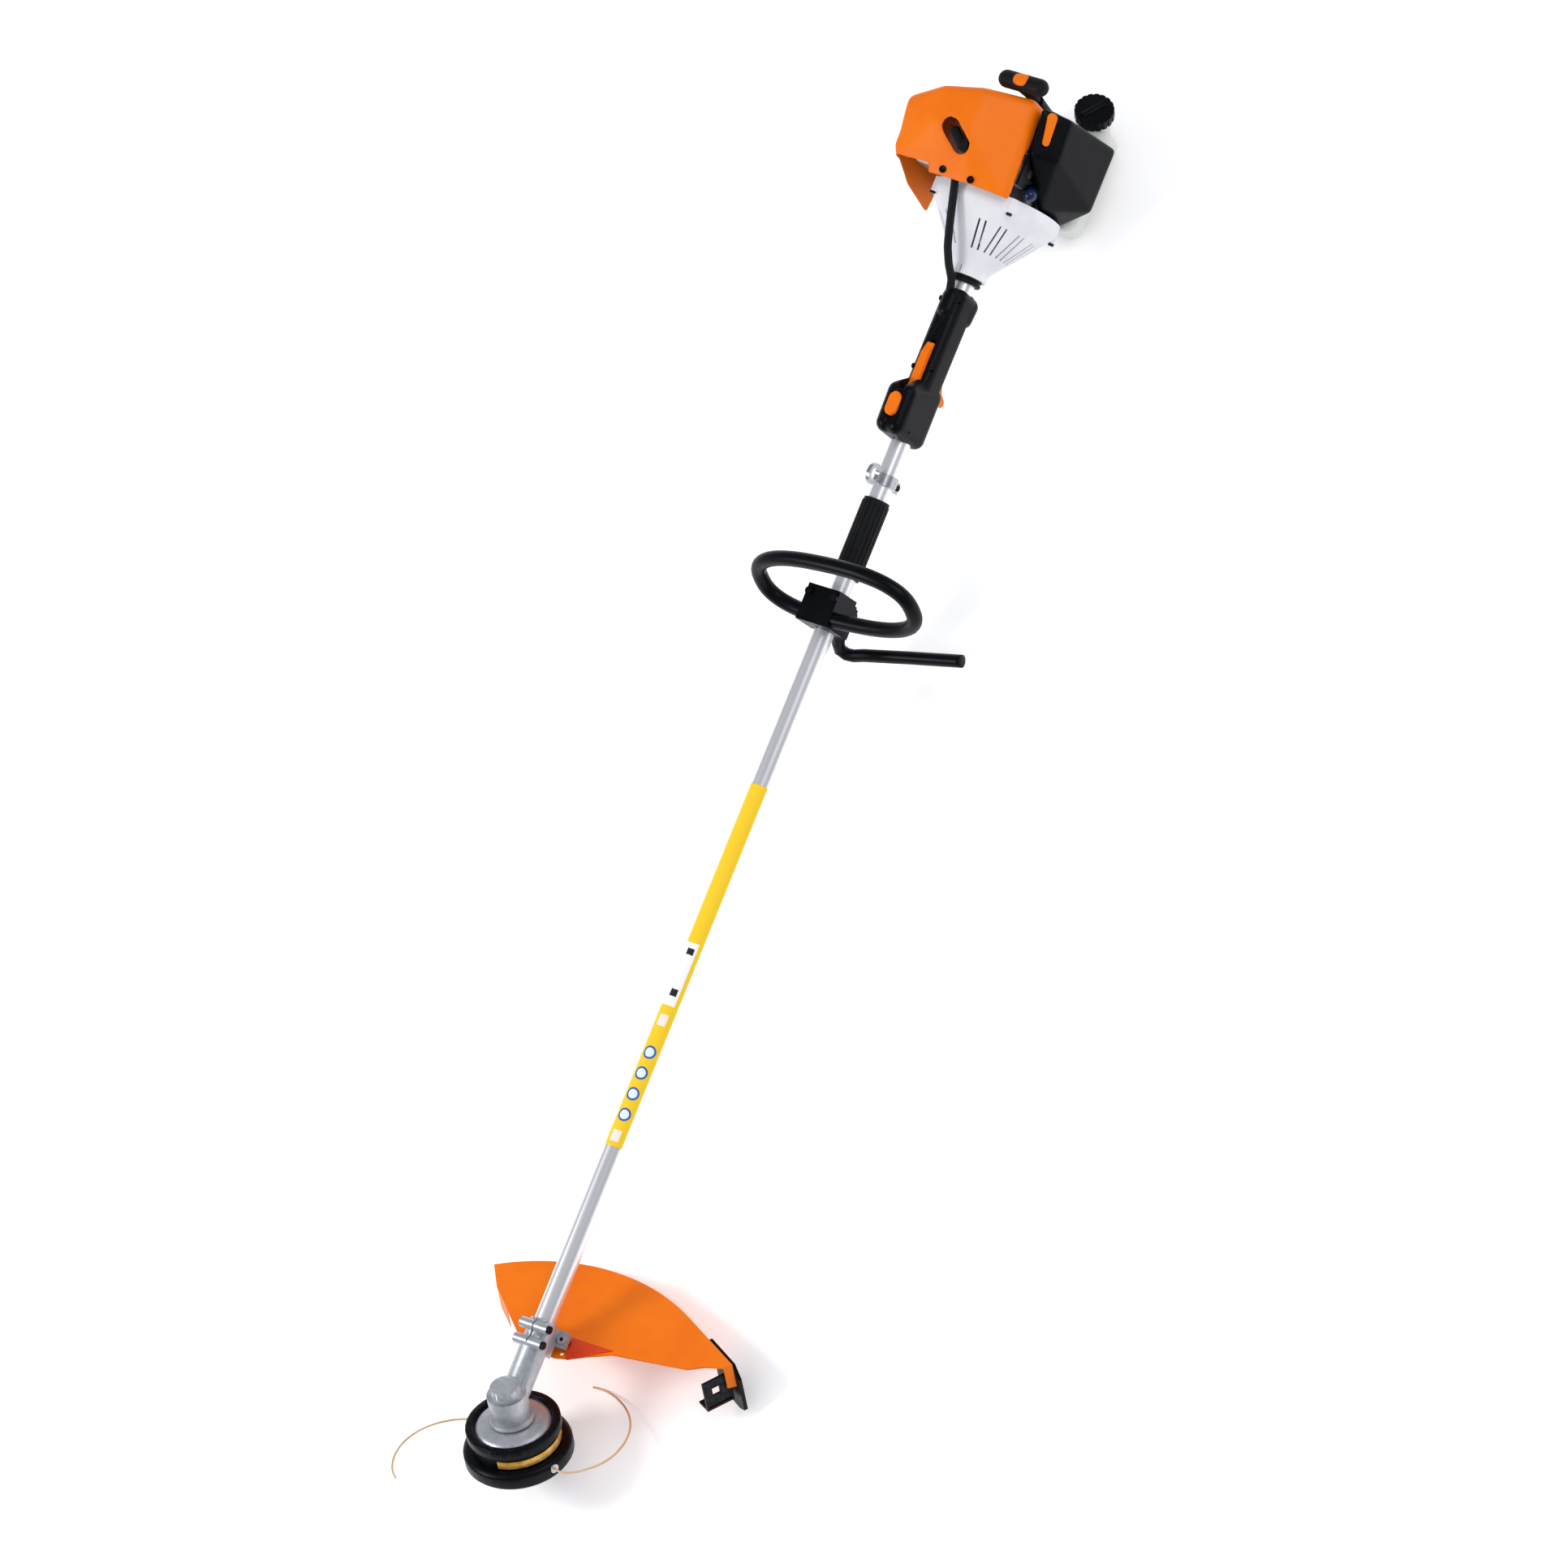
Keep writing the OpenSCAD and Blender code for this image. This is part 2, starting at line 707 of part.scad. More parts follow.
module crankcase() {
  color("lightgray") place() difference() {
    union() {
      along_x(1556, case_back, 38);
      block([cyl_x - 27, -27, 0], [cyl_x + 27, 27, 38]);
      block([cyl_x - 22, -46, -40], [cyl_x + 22, 46, -30]);
    }
    along_x(1566, case_back - 10, 29);
    along_x(1540, case_back + 10, 7.5 + run);
    translate([cyl_x, 0, 0]) cylinder(h = 60, r = bore_d / 2 + 0.2);
  }
}

module cylinder_barrel() {
  translate([cyl_x, 0, 38]) cylinder(h = 66, r = bore_d / 2 + 4);
}

module engine_cylinder() {
  color("silver") place() difference() {
    union() {
      cylinder_barrel();
      block([cyl_x - 25, -25, 38], [cyl_x + 25, 25, 42]);
      for (z = [46:6:100])
        block([cyl_x - (z > 80 ? 22 : 27), z > 80 ? -22 : -34, z], [cyl_x + 30, 34, z + 2]);
      block([cyl_x - 12, -35.6, 46], [cyl_x + 12, 0, 68]);
      block([cyl_x - 14, 0, 46], [cyl_x + 14, 39.6, 66]);
    }
    translate([cyl_x, 0, 30]) cylinder(h = 58, r = bore_d / 2);
    translate([cyl_x, 0, 57]) rotate([90, 0, 0]) cylinder(h = 60, r = 7);
    translate([cyl_x, 0, 56]) rotate([-90, 0, 0]) cylinder(h = 60, r = 8);
    translate([cyl_x, 0, 80]) cylinder(h = 40, r = 5);
  }
}

module spark_plug() {
  color("whitesmoke") place() translate([cyl_x, 0, 0]) union() {
    translate([0, 0, 89]) cylinder(h = 16, r = 5 - fit);
    translate([0, 0, 104.1]) cylinder(h = 5, r = 8, $fn = 6);
    translate([0, 0, 109]) cylinder(h = 7, r = 4);
  }
}

module plug_boot() {
  color("black") place() difference() {
    union() {
      translate([cyl_x, 0, 110]) cylinder(h = 12, r = 7);
      ball_hull([[cyl_x, 2, 118.5], [cyl_x + 15, 19, 117]], 6);
    }
    translate([cyl_x, 0, 100]) cylinder(h = 16, r = 4 + fit);
  }
}

module muffler() {
  color("gray") place() difference() {
    translate([0, 82, 0]) rotate([90, 0, 0]) linear_extrude(height = 42) hull()
      for (x = [cyl_x - 16, cyl_x + 30], z = [6, 70]) translate([x, z]) circle(r = 9, $fn = 32);
    translate([cyl_x, 30, 56]) rotate([-90, 0, 0]) cylinder(h = 22, r = 8);
    translate([cyl_x + 30, 66, 20]) rotate([0, 90, 0]) cylinder(h = 22, r = 5);
  }
}

module carburetor() {
  color("silver") place() difference() {
    union() {
      block([cyl_x - 17, -54, 44], [cyl_x + 17, -36, 72]);
      translate([cyl_x, -35.8, 57]) rotate([90, 0, 0]) cylinder(h = 22.8, r = 11);
      translate([cyl_x + 16, -46, 50]) rotate([0, 90, 0]) cylinder(h = 8, r = 3);
    }
    translate([cyl_x, -30, 57]) rotate([90, 0, 0]) cylinder(h = 40, r = 7);
  }
}

module filter_base() {
  color("black") place() difference() {
    union() {
      block([1562, -65.2, -34], [1660, -62.3, 78]);
      primer_frame() translate([0, 0, -7]) cylinder(h = 5, r = 10.5);
    }
    primer_frame() translate([0, 0, -14]) cylinder(h = 30, r = 8 + gap);
    translate([cyl_x, -50, 57]) rotate([90, 0, 0]) cylinder(h = 20, r = 7);
    block([1540, -70, 40], [1566, -50, 90]);
  }
}

module air_filter() {
  color("beige") place() difference() {
    block([1612, -84, -28], [1650, -65.4, 52]);
    block([1618, -80, -22], [1644, -60, 46]);
    for (x = [1614:4:1646]) block([x, -90, -30], [x + 1.4, -82, 54]);
  }
}

cover_rear = 1662;
module filter_cover() {
  color("black") place() difference() {
    ball_hull([
      [cover_rear - 5, -67, 86], [cover_rear - 5, -90, 62], [cover_rear - 5, -99, -34],
      [cover_rear - 5, -67, -40], [1607, -67, 74], [1610, -90, 56], [1582, -99, -34],
      [1558, -68, 16], [1558, -68, -36]
    ], 5);
    ball_hull([
      [cover_rear - 6, -63, 84], [cover_rear - 6, -88, 61], [cover_rear - 6, -97, -33],
      [cover_rear - 6, -63, -39], [1608, -63, 72], [1611, -88, 55], [1583, -97, -33],
      [1560, -65, 15], [1560, -65, -35]
    ], 3);
    block([1530, -65.4, -60], [1680, -50, 110]);
    choke_frame() translate([0, 0, -8]) cylinder(h = 16, r = 3 + run);
  }
}

// on the sloping upper face of the filter cover
module choke_frame() {
  translate([1640, -77, 78.8]) rotate([45.4, -13.5, 0]) children();
}

module choke_knob() {
  color("darkorange") place() choke_frame() union() {
    translate([0, 0, -6]) cylinder(h = 10, r = 3);
    translate([0, 0, 2.6]) linear_extrude(height = 4.6) hull() {
      translate([-16, 0]) circle(r = 4, $fn = 32);
      translate([14, 0]) circle(r = 6, $fn = 32);
    }
  }
}

module primer_frame() {
  translate([1563, -70, 50]) rotate([40, -40, 0]) children();
}

module primer_bulb() {
  color("midnightblue") place() primer_frame() union() {
    translate([0, 0, -5]) cylinder(h = 7, r = 8);
    intersection() {
      sphere(r = 8);
      cylinder(h = 10, r = 9);
    }
  }
}

module shroud_roof(r) {
  ball_hull([
    [1549, -50, 78], [1549, -20, 94], [1551, 30, 101], [1556, 84, 98], [1592, -46, 82],
    [1600, 0, 116], [1606, 44, 122], [1600, 84, 112], [1656, -46, 86], [1648, 0, 116],
    [1636, 44, 126], [1618, 84, 116], [1556, 84, 40], [1650, -46, 40], [1640, 84, 40], [1556, -50, 40]
  ], r);
}

module shroud_leg(r) {
  ball_hull([
    [1567, 88, 104], [1612, 88, 106], [1539, 88, 50], [1525, 88, -6], [1612, 88, -8], [1570, 60, 90]
  ], r);
}

module engine_shroud() {
  color("darkorange") place() difference() {
    union() {
      shroud_roof(12);
      shroud_leg(10);
    }
    shroud_roof(9.5);
    shroud_leg(7.5);
    block([1500, -80, -60], [1700, 86, 40]);
    along_x(1500, 1554, fan_r + 1.5);
    block([1500, -80, 20], [1543, 86, 140]);
    block([1500, -80, 20], [1554, 86, 78]);
    block([1500, 40, -60], [1554, 94.5, 140]);
    block([1600, -90, 38], [1700, -54, 72]);
    along_x(1620, 1700, 54);
    block([cyl_x - 50, -90, 30], [cyl_x + 22, -45, 76]);
    translate([cyl_x + 8, 11, 100]) rotate([0, 0, 48]) linear_extrude(height = 60) hull()
      for (s = [-1, 1]) translate([s * 12, 0]) circle(r = 10, $fn = 32);
    primer_frame() translate([0, 0, -14]) cylinder(h = 30, r = 8 + gap);
    rope_frame() translate([0, 0, 18]) cylinder(h = 70, r = 10);
  }
}

cap_at = [1703, -40, -60];
module cap_frame() {
  translate(cap_at) rotate([0, 30, -29]) children();
}

module tank_hull(r) {
  ball_hull([
    [1567, -58, -70], [1567, 58, -70], [1672, -58, -70], [1672, 58, -70],
    [1567, -54, -92], [1567, 54, -92], [1672, -54, -92], [1672, 54, -92]
  ], r);
}

module fuel_tank() {
  color("white") place() difference() {
    union() {
      tank_hull(13);
      cap_frame() translate([0, 0, -44]) cylinder(h = 36, r = 18);
    }
    tank_hull(10.5);
    cap_frame() translate([0, 0, -8]) cylinder(h = 20, d = cap_d + 1.2);
    cap_frame() translate([0, 0, -50]) cylinder(h = 50, r = 14);
  }
}

module fuel_cap() {
  color("black") place() cap_frame() union() {
    translate([0, 0, -18]) cylinder(h = 12, r = 14 - gap);
    difference() {
      translate([0, 0, -7.7]) cylinder(h = 13, d = cap_d);
      for (a = [0:20:359]) rotate([0, 0, a]) translate([cap_d / 2 + 0.6, 0, -9]) cylinder(h = 16, r = 1.8);
    }
    translate([0, 0, 6]) cube([34, 6, 5], center = true);
  }
}

module tank_guard() {
  color("black") place() difference() {
    union() {
      block([1560, -38, foot_z], [1674, 38, foot_z + 5]);
      for (y = [-38, 34]) block([1560, y, foot_z], [1674, y + 4, -105.3]);
      for (x = [1560, 1615, 1670]) block([x, -38, foot_z], [x + 4, 38, -105.3]);
    }
    for (x = [1585, 1650]) translate([x, 0, foot_z - 1]) cylinder(h = 8, r = 3);
  }
}

module starter_housing() {
  color("black") place() difference() {
    union() {
      along_x(starter_front, starter_back, 52);
      rope_frame() translate([0, 0, 20]) cylinder(h = 37, r = 9);
      for (a = [60:120:359]) rotate([a, 0, 0]) translate([starter_front, 0, 49])
        rotate([0, 90, 0]) cylinder(h = 10, r = 7);
    }
    along_x(starter_front - 1, starter_back - 3, 48);
    rope_frame() translate([0, 0, -70]) cylinder(h = 135, r = 4.5);
    for (a = [0:30:359]) rotate([a, 0, 0]) translate([starter_back - 5, -2, 16]) cube([10, 4, 20]);
    for (a = [60:120:359]) rotate([a, 0, 0]) translate([starter_front - 1, 0, 51])
      rotate([0, 90, 0]) cylinder(h = 14, r = 2.2);
  }
}

// local z is the direction of pull, and the start is where the rope meets the pulley
module rope_frame() {
  translate([pulley_x, rope_y, 0]) rotate([0, pull_lean, 0]) children();
}

module starter_rope() {
  color("ivory") place() rope_frame() translate([0, 0, -16]) cylinder(h = 96, r = rope_r);
}

module starter_grip() {
  color("black") place() rope_frame() difference() {
    union() {
      translate([0, 0, 58]) cylinder(h = 30, r1 = 6, r2 = 9);
      translate([0, 0, 99]) rotate([90, 0, 0]) cylinder(h = grip_w - 22, r = 11, center = true);
      for (s = [-1, 1]) translate([0, s * (grip_w / 2 - 11), 99]) sphere(r = 11);
      translate([0, 0, 84]) cylinder(h = 12, r1 = 9, r2 = 11);
    }
    translate([0, 0, 50]) cylinder(h = 30, r = rope_r);
    for (s = [-1, 1]) translate([s * 15, 0, 99]) cube([10, 90, 40], center = true);
  }
}

module starter_pulley() {
  color("gray") place() difference() {
    union() {
      along_x(pulley_x - 7, pulley_x - 5, 33.4);
      along_x(pulley_x - 5, pulley_x + 5, 30);
      along_x(pulley_x + 5, pulley_x + 7, 33.4);
    }
    along_x(pulley_x - 6, pulley_x + 8, 5);
    along_x(pulley_x - 9, pulley_x - 5.5, 8);
    for (a = [0:60:359]) rotate([a, 0, 0]) translate([0, 0, 18]) along_x(pulley_x - 9, pulley_x + 9, 5);
  }
}

// ---- fasteners ----

module screws() {
  color("dimgray") place() union() {
    for (x = [80, 100]) translate([x, -20, 17]) rotate([90, 0, 0]) screw(5 - 0.1, 39);
    for (s = [-1, 1]) translate([98, s * 21, -28]) rotate([180, 0, 0]) screw(5 - 0.1, 11);
    for (y = [-18, 18]) translate([1033, y, 35]) screw(5 - 0.1, 40);
    for (y = [-7, 7]) translate([bar_screw_x, y, -34]) rotate([180, 0, 0]) screw(5 - 0.1, 14);
    translate([1191, -5, -21]) rotate([90, 0, 0]) screw(4, 10);
    for (a = [45:90:359]) rotate([a, 0, 0]) translate([fan_back - 18, 0, fan_r - 1])
      rotate([0, -90, 0]) screw(4.2, 16, 1.7);
  }
}

fan_housing();
crankcase();
engine_cylinder();  // cylinder
spark_plug();
plug_boot();
piston();
connecting_rod();
crankshaft();
flywheel();
ignition_module();
clutch_rotor();
clutch_drum();
carburetor();
filter_base();
air_filter();
filter_cover();
choke_knob();
primer_bulb();
muffler();
engine_shroud();
fuel_tank();
fuel_cap();
tank_guard();
starter_housing();
starter_grip();
starter_rope();
starter_pulley();
screws();
drive_tube();
drive_shaft();
shaft_bushes();
handle_left();
handle_right();
throttle_trigger();
throttle_lockout();
stop_button();
throttle_cable();
carry_eyelet();
grip_sleeve();
loop_handle();
loop_clamp();
barrier_bar();
gear_case();
pinion();
crown_gear();
gear_bearings();
output_spindle();
thrust_plate();
deflector();
deflector_clamp();
deflector_skirt();
line_knife();
head_housing();
head_base();
line_spool();
bump_knob();
line_eyelets();
line_left();
line_right();
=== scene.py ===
# %% [markdown]
# # A loop-handle brush cutter
# The machine's hard parts come from CAD as a fixed frame. This script lights them, gives each its real
# finish, and models what CAD leaves out: the trimmer line, smooth mouldings, stickers, seals and screws.

# %% Load the frame
import json
import math

import bmesh
import bpy
from mathutils import Matrix, Vector

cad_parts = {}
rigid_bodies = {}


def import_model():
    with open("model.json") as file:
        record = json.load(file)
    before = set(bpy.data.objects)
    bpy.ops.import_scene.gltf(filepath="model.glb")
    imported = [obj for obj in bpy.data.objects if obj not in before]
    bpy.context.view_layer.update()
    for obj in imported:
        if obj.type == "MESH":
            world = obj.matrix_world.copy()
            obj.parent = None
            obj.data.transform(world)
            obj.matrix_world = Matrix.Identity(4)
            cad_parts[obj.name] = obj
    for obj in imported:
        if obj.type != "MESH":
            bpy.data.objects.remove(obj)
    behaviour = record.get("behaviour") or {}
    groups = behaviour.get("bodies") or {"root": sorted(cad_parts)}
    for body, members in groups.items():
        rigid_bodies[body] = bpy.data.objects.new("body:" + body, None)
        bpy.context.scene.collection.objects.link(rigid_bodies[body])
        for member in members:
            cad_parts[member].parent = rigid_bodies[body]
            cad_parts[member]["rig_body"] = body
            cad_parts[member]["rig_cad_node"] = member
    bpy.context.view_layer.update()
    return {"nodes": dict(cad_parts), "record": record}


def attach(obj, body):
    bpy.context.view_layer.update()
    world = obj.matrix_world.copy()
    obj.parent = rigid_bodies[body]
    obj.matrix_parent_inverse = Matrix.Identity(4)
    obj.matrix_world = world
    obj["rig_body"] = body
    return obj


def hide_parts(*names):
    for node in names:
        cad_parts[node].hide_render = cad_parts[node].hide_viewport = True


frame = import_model()

# %% [markdown]
# ## Stations of the machine
# The part is drawn on machine axes: X runs along the shaft from the gear head to the engine, Z is up,
# and everything is in millimetres. Two small functions turn such a place into metres in the frame. The
# gear head has axes of its own, because it leans 35 degrees, so its third one runs up the spindle.

# %% Places on the shaft and on the gear head
MM = 0.001
FOOT = Vector((1617, 0, -125))
SPINDLE_LEAN = math.radians(35)
TUBE_R = 12.7
LEAN = Matrix.Rotation(SPINDLE_LEAN, 4, "Y")


def on_machine(x, y, z):
    """A place on the machine's axes, in millimetres, as a place in the frame."""
    return (Vector((x, y, z)) - FOOT) * MM


def on_head(forward, right, up):
    """A place on the gear head's axes, in millimetres, as a place in the frame."""
    return on_machine(*(LEAN @ Vector((forward, right, up))))


HEAD = on_machine(0, 0, 0)
print("gear head centre at", tuple(round(c, 3) for c in HEAD))

# %% [markdown]
# ## Camera
# A long lens from far away keeps the shaft's two ends at nearly the same scale, as product pictures of
# long tools do. The camera is rolled, so that the machine runs up the picture from corner to corner.

# %% Camera
CAMERA_DISTANCE = 20.65
picture_right = Vector((0.3729, -0.8071, -0.4579)).normalized()
towards_camera = Vector((-0.1228, -0.5320, 0.8378)).normalized()
picture_up = towards_camera.cross(picture_right).normalized()
aim = on_machine(808.4, -28.6, 0)
camera = bpy.data.objects.new("camera", bpy.data.cameras.new("camera"))
bpy.context.scene.collection.objects.link(camera)
camera.data.lens = 400
camera.data.sensor_width = 36
camera.data.clip_end = 100
turn = Matrix((picture_right, picture_up, towards_camera)).transposed()
camera.matrix_world = Matrix.Translation(aim + towards_camera * CAMERA_DISTANCE) @ turn.to_4x4()
bpy.context.scene.camera = camera
print("camera at", tuple(round(c, 2) for c in camera.location))

# %% [markdown]
# ## Modelling helpers
# An operator works on whatever is selected, so each new primitive starts with nothing selected. Faces
# are then chosen in code by their place. When a piece is done, its turn and its place go into
# its mesh, its shading is smoothed up to an angle, and it rides on the CAD body that carries it.

# %% Helpers
def clear_selection():
    """Leaves edit mode and selects nothing."""
    if bpy.context.object and bpy.context.object.mode != "OBJECT":
        bpy.ops.object.mode_set(mode="OBJECT")
    bpy.ops.object.select_all(action="DESELECT")


def pick(piece):
    """Makes the piece the only one selected, and the active one."""
    clear_selection()
    piece.select_set(True)
    bpy.context.view_layer.objects.active = piece


def select_faces(piece, wanted):
    """Goes into edit mode with only the faces selected whose centre and normal are wanted."""
    pick(piece)
    bpy.ops.object.mode_set(mode="EDIT")
    bpy.context.tool_settings.mesh_select_mode = (False, False, True)
    bpy.ops.mesh.select_all(action="DESELECT")
    mesh = bmesh.from_edit_mesh(piece.data)
    for face in mesh.faces:
        face.select_set(wanted(face.calc_center_median(), face.normal))
    bmesh.update_edit_mesh(piece.data)


def modify(piece, kind, **settings):
    """Adds a modifier with its settings and applies it."""
    pick(piece)
    modifier = piece.modifiers.new(kind.lower(), kind)
    for name, value in settings.items():
        setattr(modifier, name, value)
    bpy.ops.object.modifier_apply(modifier=modifier.name)


def outward(piece):
    """Closes doubled points and turns every face outwards."""
    pick(piece)
    bpy.ops.object.mode_set(mode="EDIT")
    bpy.ops.mesh.select_all(action="SELECT")
    bpy.ops.mesh.remove_doubles(threshold=0.00001)
    bpy.ops.mesh.normals_make_consistent(inside=False)
    bpy.ops.object.mode_set(mode="OBJECT")


def finish_piece(piece, name, material, body, angle=35):
    """Bakes the piece's place into its mesh, smooths its shading and hangs it on its body."""
    pick(piece)
    bpy.ops.object.transform_apply(location=True, rotation=True, scale=True)
    bpy.ops.object.shade_smooth_by_angle(angle=math.radians(angle))
    piece.name = name
    piece.data.name = name
    piece.data.materials.clear()
    piece.data.materials.append(material)
    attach(piece, body)


# %% [markdown]
# ## Material helpers
# A finish is a Principled shader with its colour as an sRGB hex value and, on top, a pattern of its
# surface. Patterns use object coordinates in metres, so a scale of 1 / size puts about one grain in
# that size. The add function makes any node, sets what it is given, and links sockets into it.

# %% Colour and nodes
def linear(hex_colour):
    """An sRGB hex value as the linear colour that shaders work in."""
    parts = [int(hex_colour[i : i + 2], 16) / 255 for i in (1, 3, 5)]
    return [c / 12.92 if c <= 0.04045 else ((c + 0.055) / 1.055) ** 2.4 for c in parts] + [1.0]


def add(tree, kind, settings=None, **links):
    """One node, with values for its inputs or properties, and sockets linked into its inputs."""
    node = tree.nodes.new(kind)
    for name, value in (settings or {}).items():
        if name in node.inputs:
            node.inputs[name].default_value = value
        elif name.startswith("input_"):
            node.inputs[int(name[6:])].default_value = value
        else:
            setattr(node, name, value)
    for name, socket in links.items():
        target = int(name[6:]) if name.startswith("input_") else name.replace("_", " ")
        tree.links.new(socket, node.inputs[target])
    return node


def finish(name, hex_colour, **sockets):
    """A material with a Principled shader. Returns it with its node tree and its shader."""
    material = bpy.data.materials.new(name)
    material.use_nodes = True
    material.diffuse_color = linear(hex_colour)
    tree = material.node_tree
    shader = tree.nodes["Principled BSDF"]
    shader.inputs["Base Color"].default_value = linear(hex_colour)
    for socket, value in sockets.items():
        shader.inputs[socket.replace("_", " ")].default_value = value
    return material, tree, shader


def places(tree, stretch=(1, 1, 1)):
    """Object coordinates, stretched along the axes where the grain is longer one way."""
    coordinates = add(tree, "ShaderNodeTexCoord")
    mapping = add(tree, "ShaderNodeMapping", {"Scale": stretch}, Vector=coordinates.outputs["Object"])
    return mapping.outputs[0]


def mottle(tree, shader, where, size_mm, dark, light, detail=3):
    """The base colour wanders between two shades in patches of that size."""
    noise = add(tree, "ShaderNodeTexNoise", {"Scale": 1000 / size_mm, "Detail": detail}, Vector=where)
    ramp = add(tree, "ShaderNodeValToRGB", Fac=noise.outputs["Fac"])
    ramp.color_ramp.elements[0].position = 0.35
    ramp.color_ramp.elements[1].position = 0.65
    ramp.color_ramp.elements[0].color = linear(dark)
    ramp.color_ramp.elements[1].color = linear(light)
    tree.links.new(ramp.outputs["Color"], shader.inputs["Base Color"])


def rough(tree, shader, where, size_mm, low, high):
    """Gloss that varies between two roughnesses, as a handled surface does."""
    noise = add(tree, "ShaderNodeTexNoise", {"Scale": 1000 / size_mm, "Detail": 4}, Vector=where)
    span = add(tree, "ShaderNodeMapRange", {"To Min": low, "To Max": high}, Value=noise.outputs["Fac"])
    tree.links.new(span.outputs["Result"], shader.inputs["Roughness"])


def grain(tree, shader, where, size_mm, depth_mm, strength=0.5, detail=2):
    """Bumps of that size and depth over the whole surface."""
    noise = add(tree, "ShaderNodeTexNoise", {"Scale": 1000 / size_mm, "Detail": detail}, Vector=where)
    bump = add(
        tree,
        "ShaderNodeBump",
        {"Strength": strength, "Distance": depth_mm * MM},
        Height=noise.outputs["Fac"],
    )
    tree.links.new(bump.outputs["Normal"], shader.inputs["Normal"])


# %% [markdown]
# ## Trimmer line
# The head throws out two free ends of round nylon line, 2.7 mm thick. Off its coil such line keeps a
# lazy curl and lies level with the eyelets. Each end is one curve with a round bevel: its points are
# listed, and smooth handles carry the bend between them. The line is stiff for a cord.

# %% Finish of the line
# Extruded nylon is slightly clear and smooth, so it shows a soft sheen and a little variation.
line_nylon, tree, shader = finish("extruded_nylon_line", "#D2AE86", Roughness=0.32, IOR=1.53)
where = places(tree)
mottle(tree, shader, where, 30, "#C9A278", "#DBBB95")
grain(tree, shader, where, 2.5, 0.05)

# %% The two lines
LINE_D = 2.7
LINE_LEVEL = -60
line_routes = {
    "line_right": [
        (-15.5, 64), (-17.5, 72), (-17, 80), (-12, 90), (-2, 100), (12, 110), (28, 116), (46, 117),
        (64, 114), (81, 107), (96, 96), (108, 82), (117, 66), (123, 49), (125, 32), (124, 22),
    ],
    "line_left": [
        (15.5, -64), (15.5, -74), (13, -84), (8, -94), (0, -105), (-10, -115), (-24, -124), (-38, -129),
        (-52, -131), (-66, -130), (-80, -126), (-92, -120), (-103, -111), (-110, -102),
    ],
}
for node, route in line_routes.items():
    clear_selection()
    bpy.ops.curve.primitive_bezier_curve_add(location=(0, 0, 0))
    line = bpy.context.object
    line.data.splines.clear()
    spline = line.data.splines.new("BEZIER")
    spline.bezier_points.add(len(route) - 1)
    for point, (forward, left) in zip(spline.bezier_points, route):
        point.co = on_head(forward, -left, LINE_LEVEL)
        point.handle_left_type = "AUTO"
        point.handle_right_type = "AUTO"
    spline.resolution_u = 4
    line.data.bevel_depth = LINE_D / 2 * MM
    line.data.bevel_resolution = 4
    line.data.use_fill_caps = True
    line.name = "trimmer_" + node
    line.data.materials.append(line_nylon)
    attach(line, "mowing_head")
    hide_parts(node)

# %% [markdown]
# ## Finishes of the plastics
# The orange shroud and deflector are moulded polyamide, bright and half glossy. The black parts are the
# same resin filled with glass, so they are duller and show a fine spark-eroded texture. The real grain
# is about 0.3 mm, too fine to show here, so it is drawn about 2 mm wide and kept shallow.

# %% Plastics
orange_polyamide, tree, shader = finish(
    "moulded_orange_polyamide", "#E87000", IOR=1.5, Specular_IOR_Level=0.18
)
where = places(tree)
mottle(tree, shader, where, 60, "#E46B00", "#EA7300")
rough(tree, shader, where, 25, 0.34, 0.46)
grain(tree, shader, where, 2.0, 0.05, 0.25)

# A darker red of the same plastic, used only as painted shade on the sheet laid over the deflector's
# roof.
painted_shade_orange, tree, shader = finish(
    "painted_shade_orange_polyamide", "#D23A0A", IOR=1.5, Specular_IOR_Level=0.25
)
where = places(tree)
mottle(tree, shader, where, 60, "#CC3508", "#D8420E")
rough(tree, shader, where, 25, 0.36, 0.48)
grain(tree, shader, where, 2.0, 0.05, 0.25)

black_polyamide, tree, shader = finish(
    "glass_filled_black_polyamide", "#030408", IOR=1.5, Specular_IOR_Level=0.15
)
where = places(tree)
mottle(tree, shader, where, 20, "#020308", "#05070E")
rough(tree, shader, where, 12, 0.3, 0.44)
grain(tree, shader, where, 2.2, 0.12, 0.4)

white_polyamide, tree, shader = finish("moulded_white_polyamide", "#DADBE0", IOR=1.5)
where = places(tree)
mottle(tree, shader, where, 50, "#D6D7DD", "#E2E3E7")
rough(tree, shader, where, 20, 0.36, 0.48)
grain(tree, shader, where, 2.0, 0.06, 0.3)

# Blow-moulded polyethylene lets light through and scatters it, and its skin is waxy.
tank_polyethylene, tree, shader = finish(
    "blown_polyethylene",
    "#E6E5E1",
    IOR=1.51,
    Roughness=0.38,
    Transmission_Weight=0.22,
    Subsurface_Weight=0.25,
    Subsurface_Scale=0.01,
)
where = places(tree)
mottle(tree, shader, where, 45, "#E0DFDB", "#ECEBE7")
grain(tree, shader, where, 4.0, 0.12, 0.35)

natural_nylon, tree, shader = finish("natural_nylon", "#D8D2C2", IOR=1.53, Roughness=0.45)
where = places(tree)
mottle(tree, shader, where, 15, "#D1CAB8", "#DFDACC")
grain(tree, shader, where, 1.5, 0.05)

# %% [markdown]
# ## Finishes of the rubbers
# Grips, seals and cable sheaths are black rubber. It is duller than the plastics, with pores and dust
# in its texture, and it takes a wide soft highlight that sheen gives.

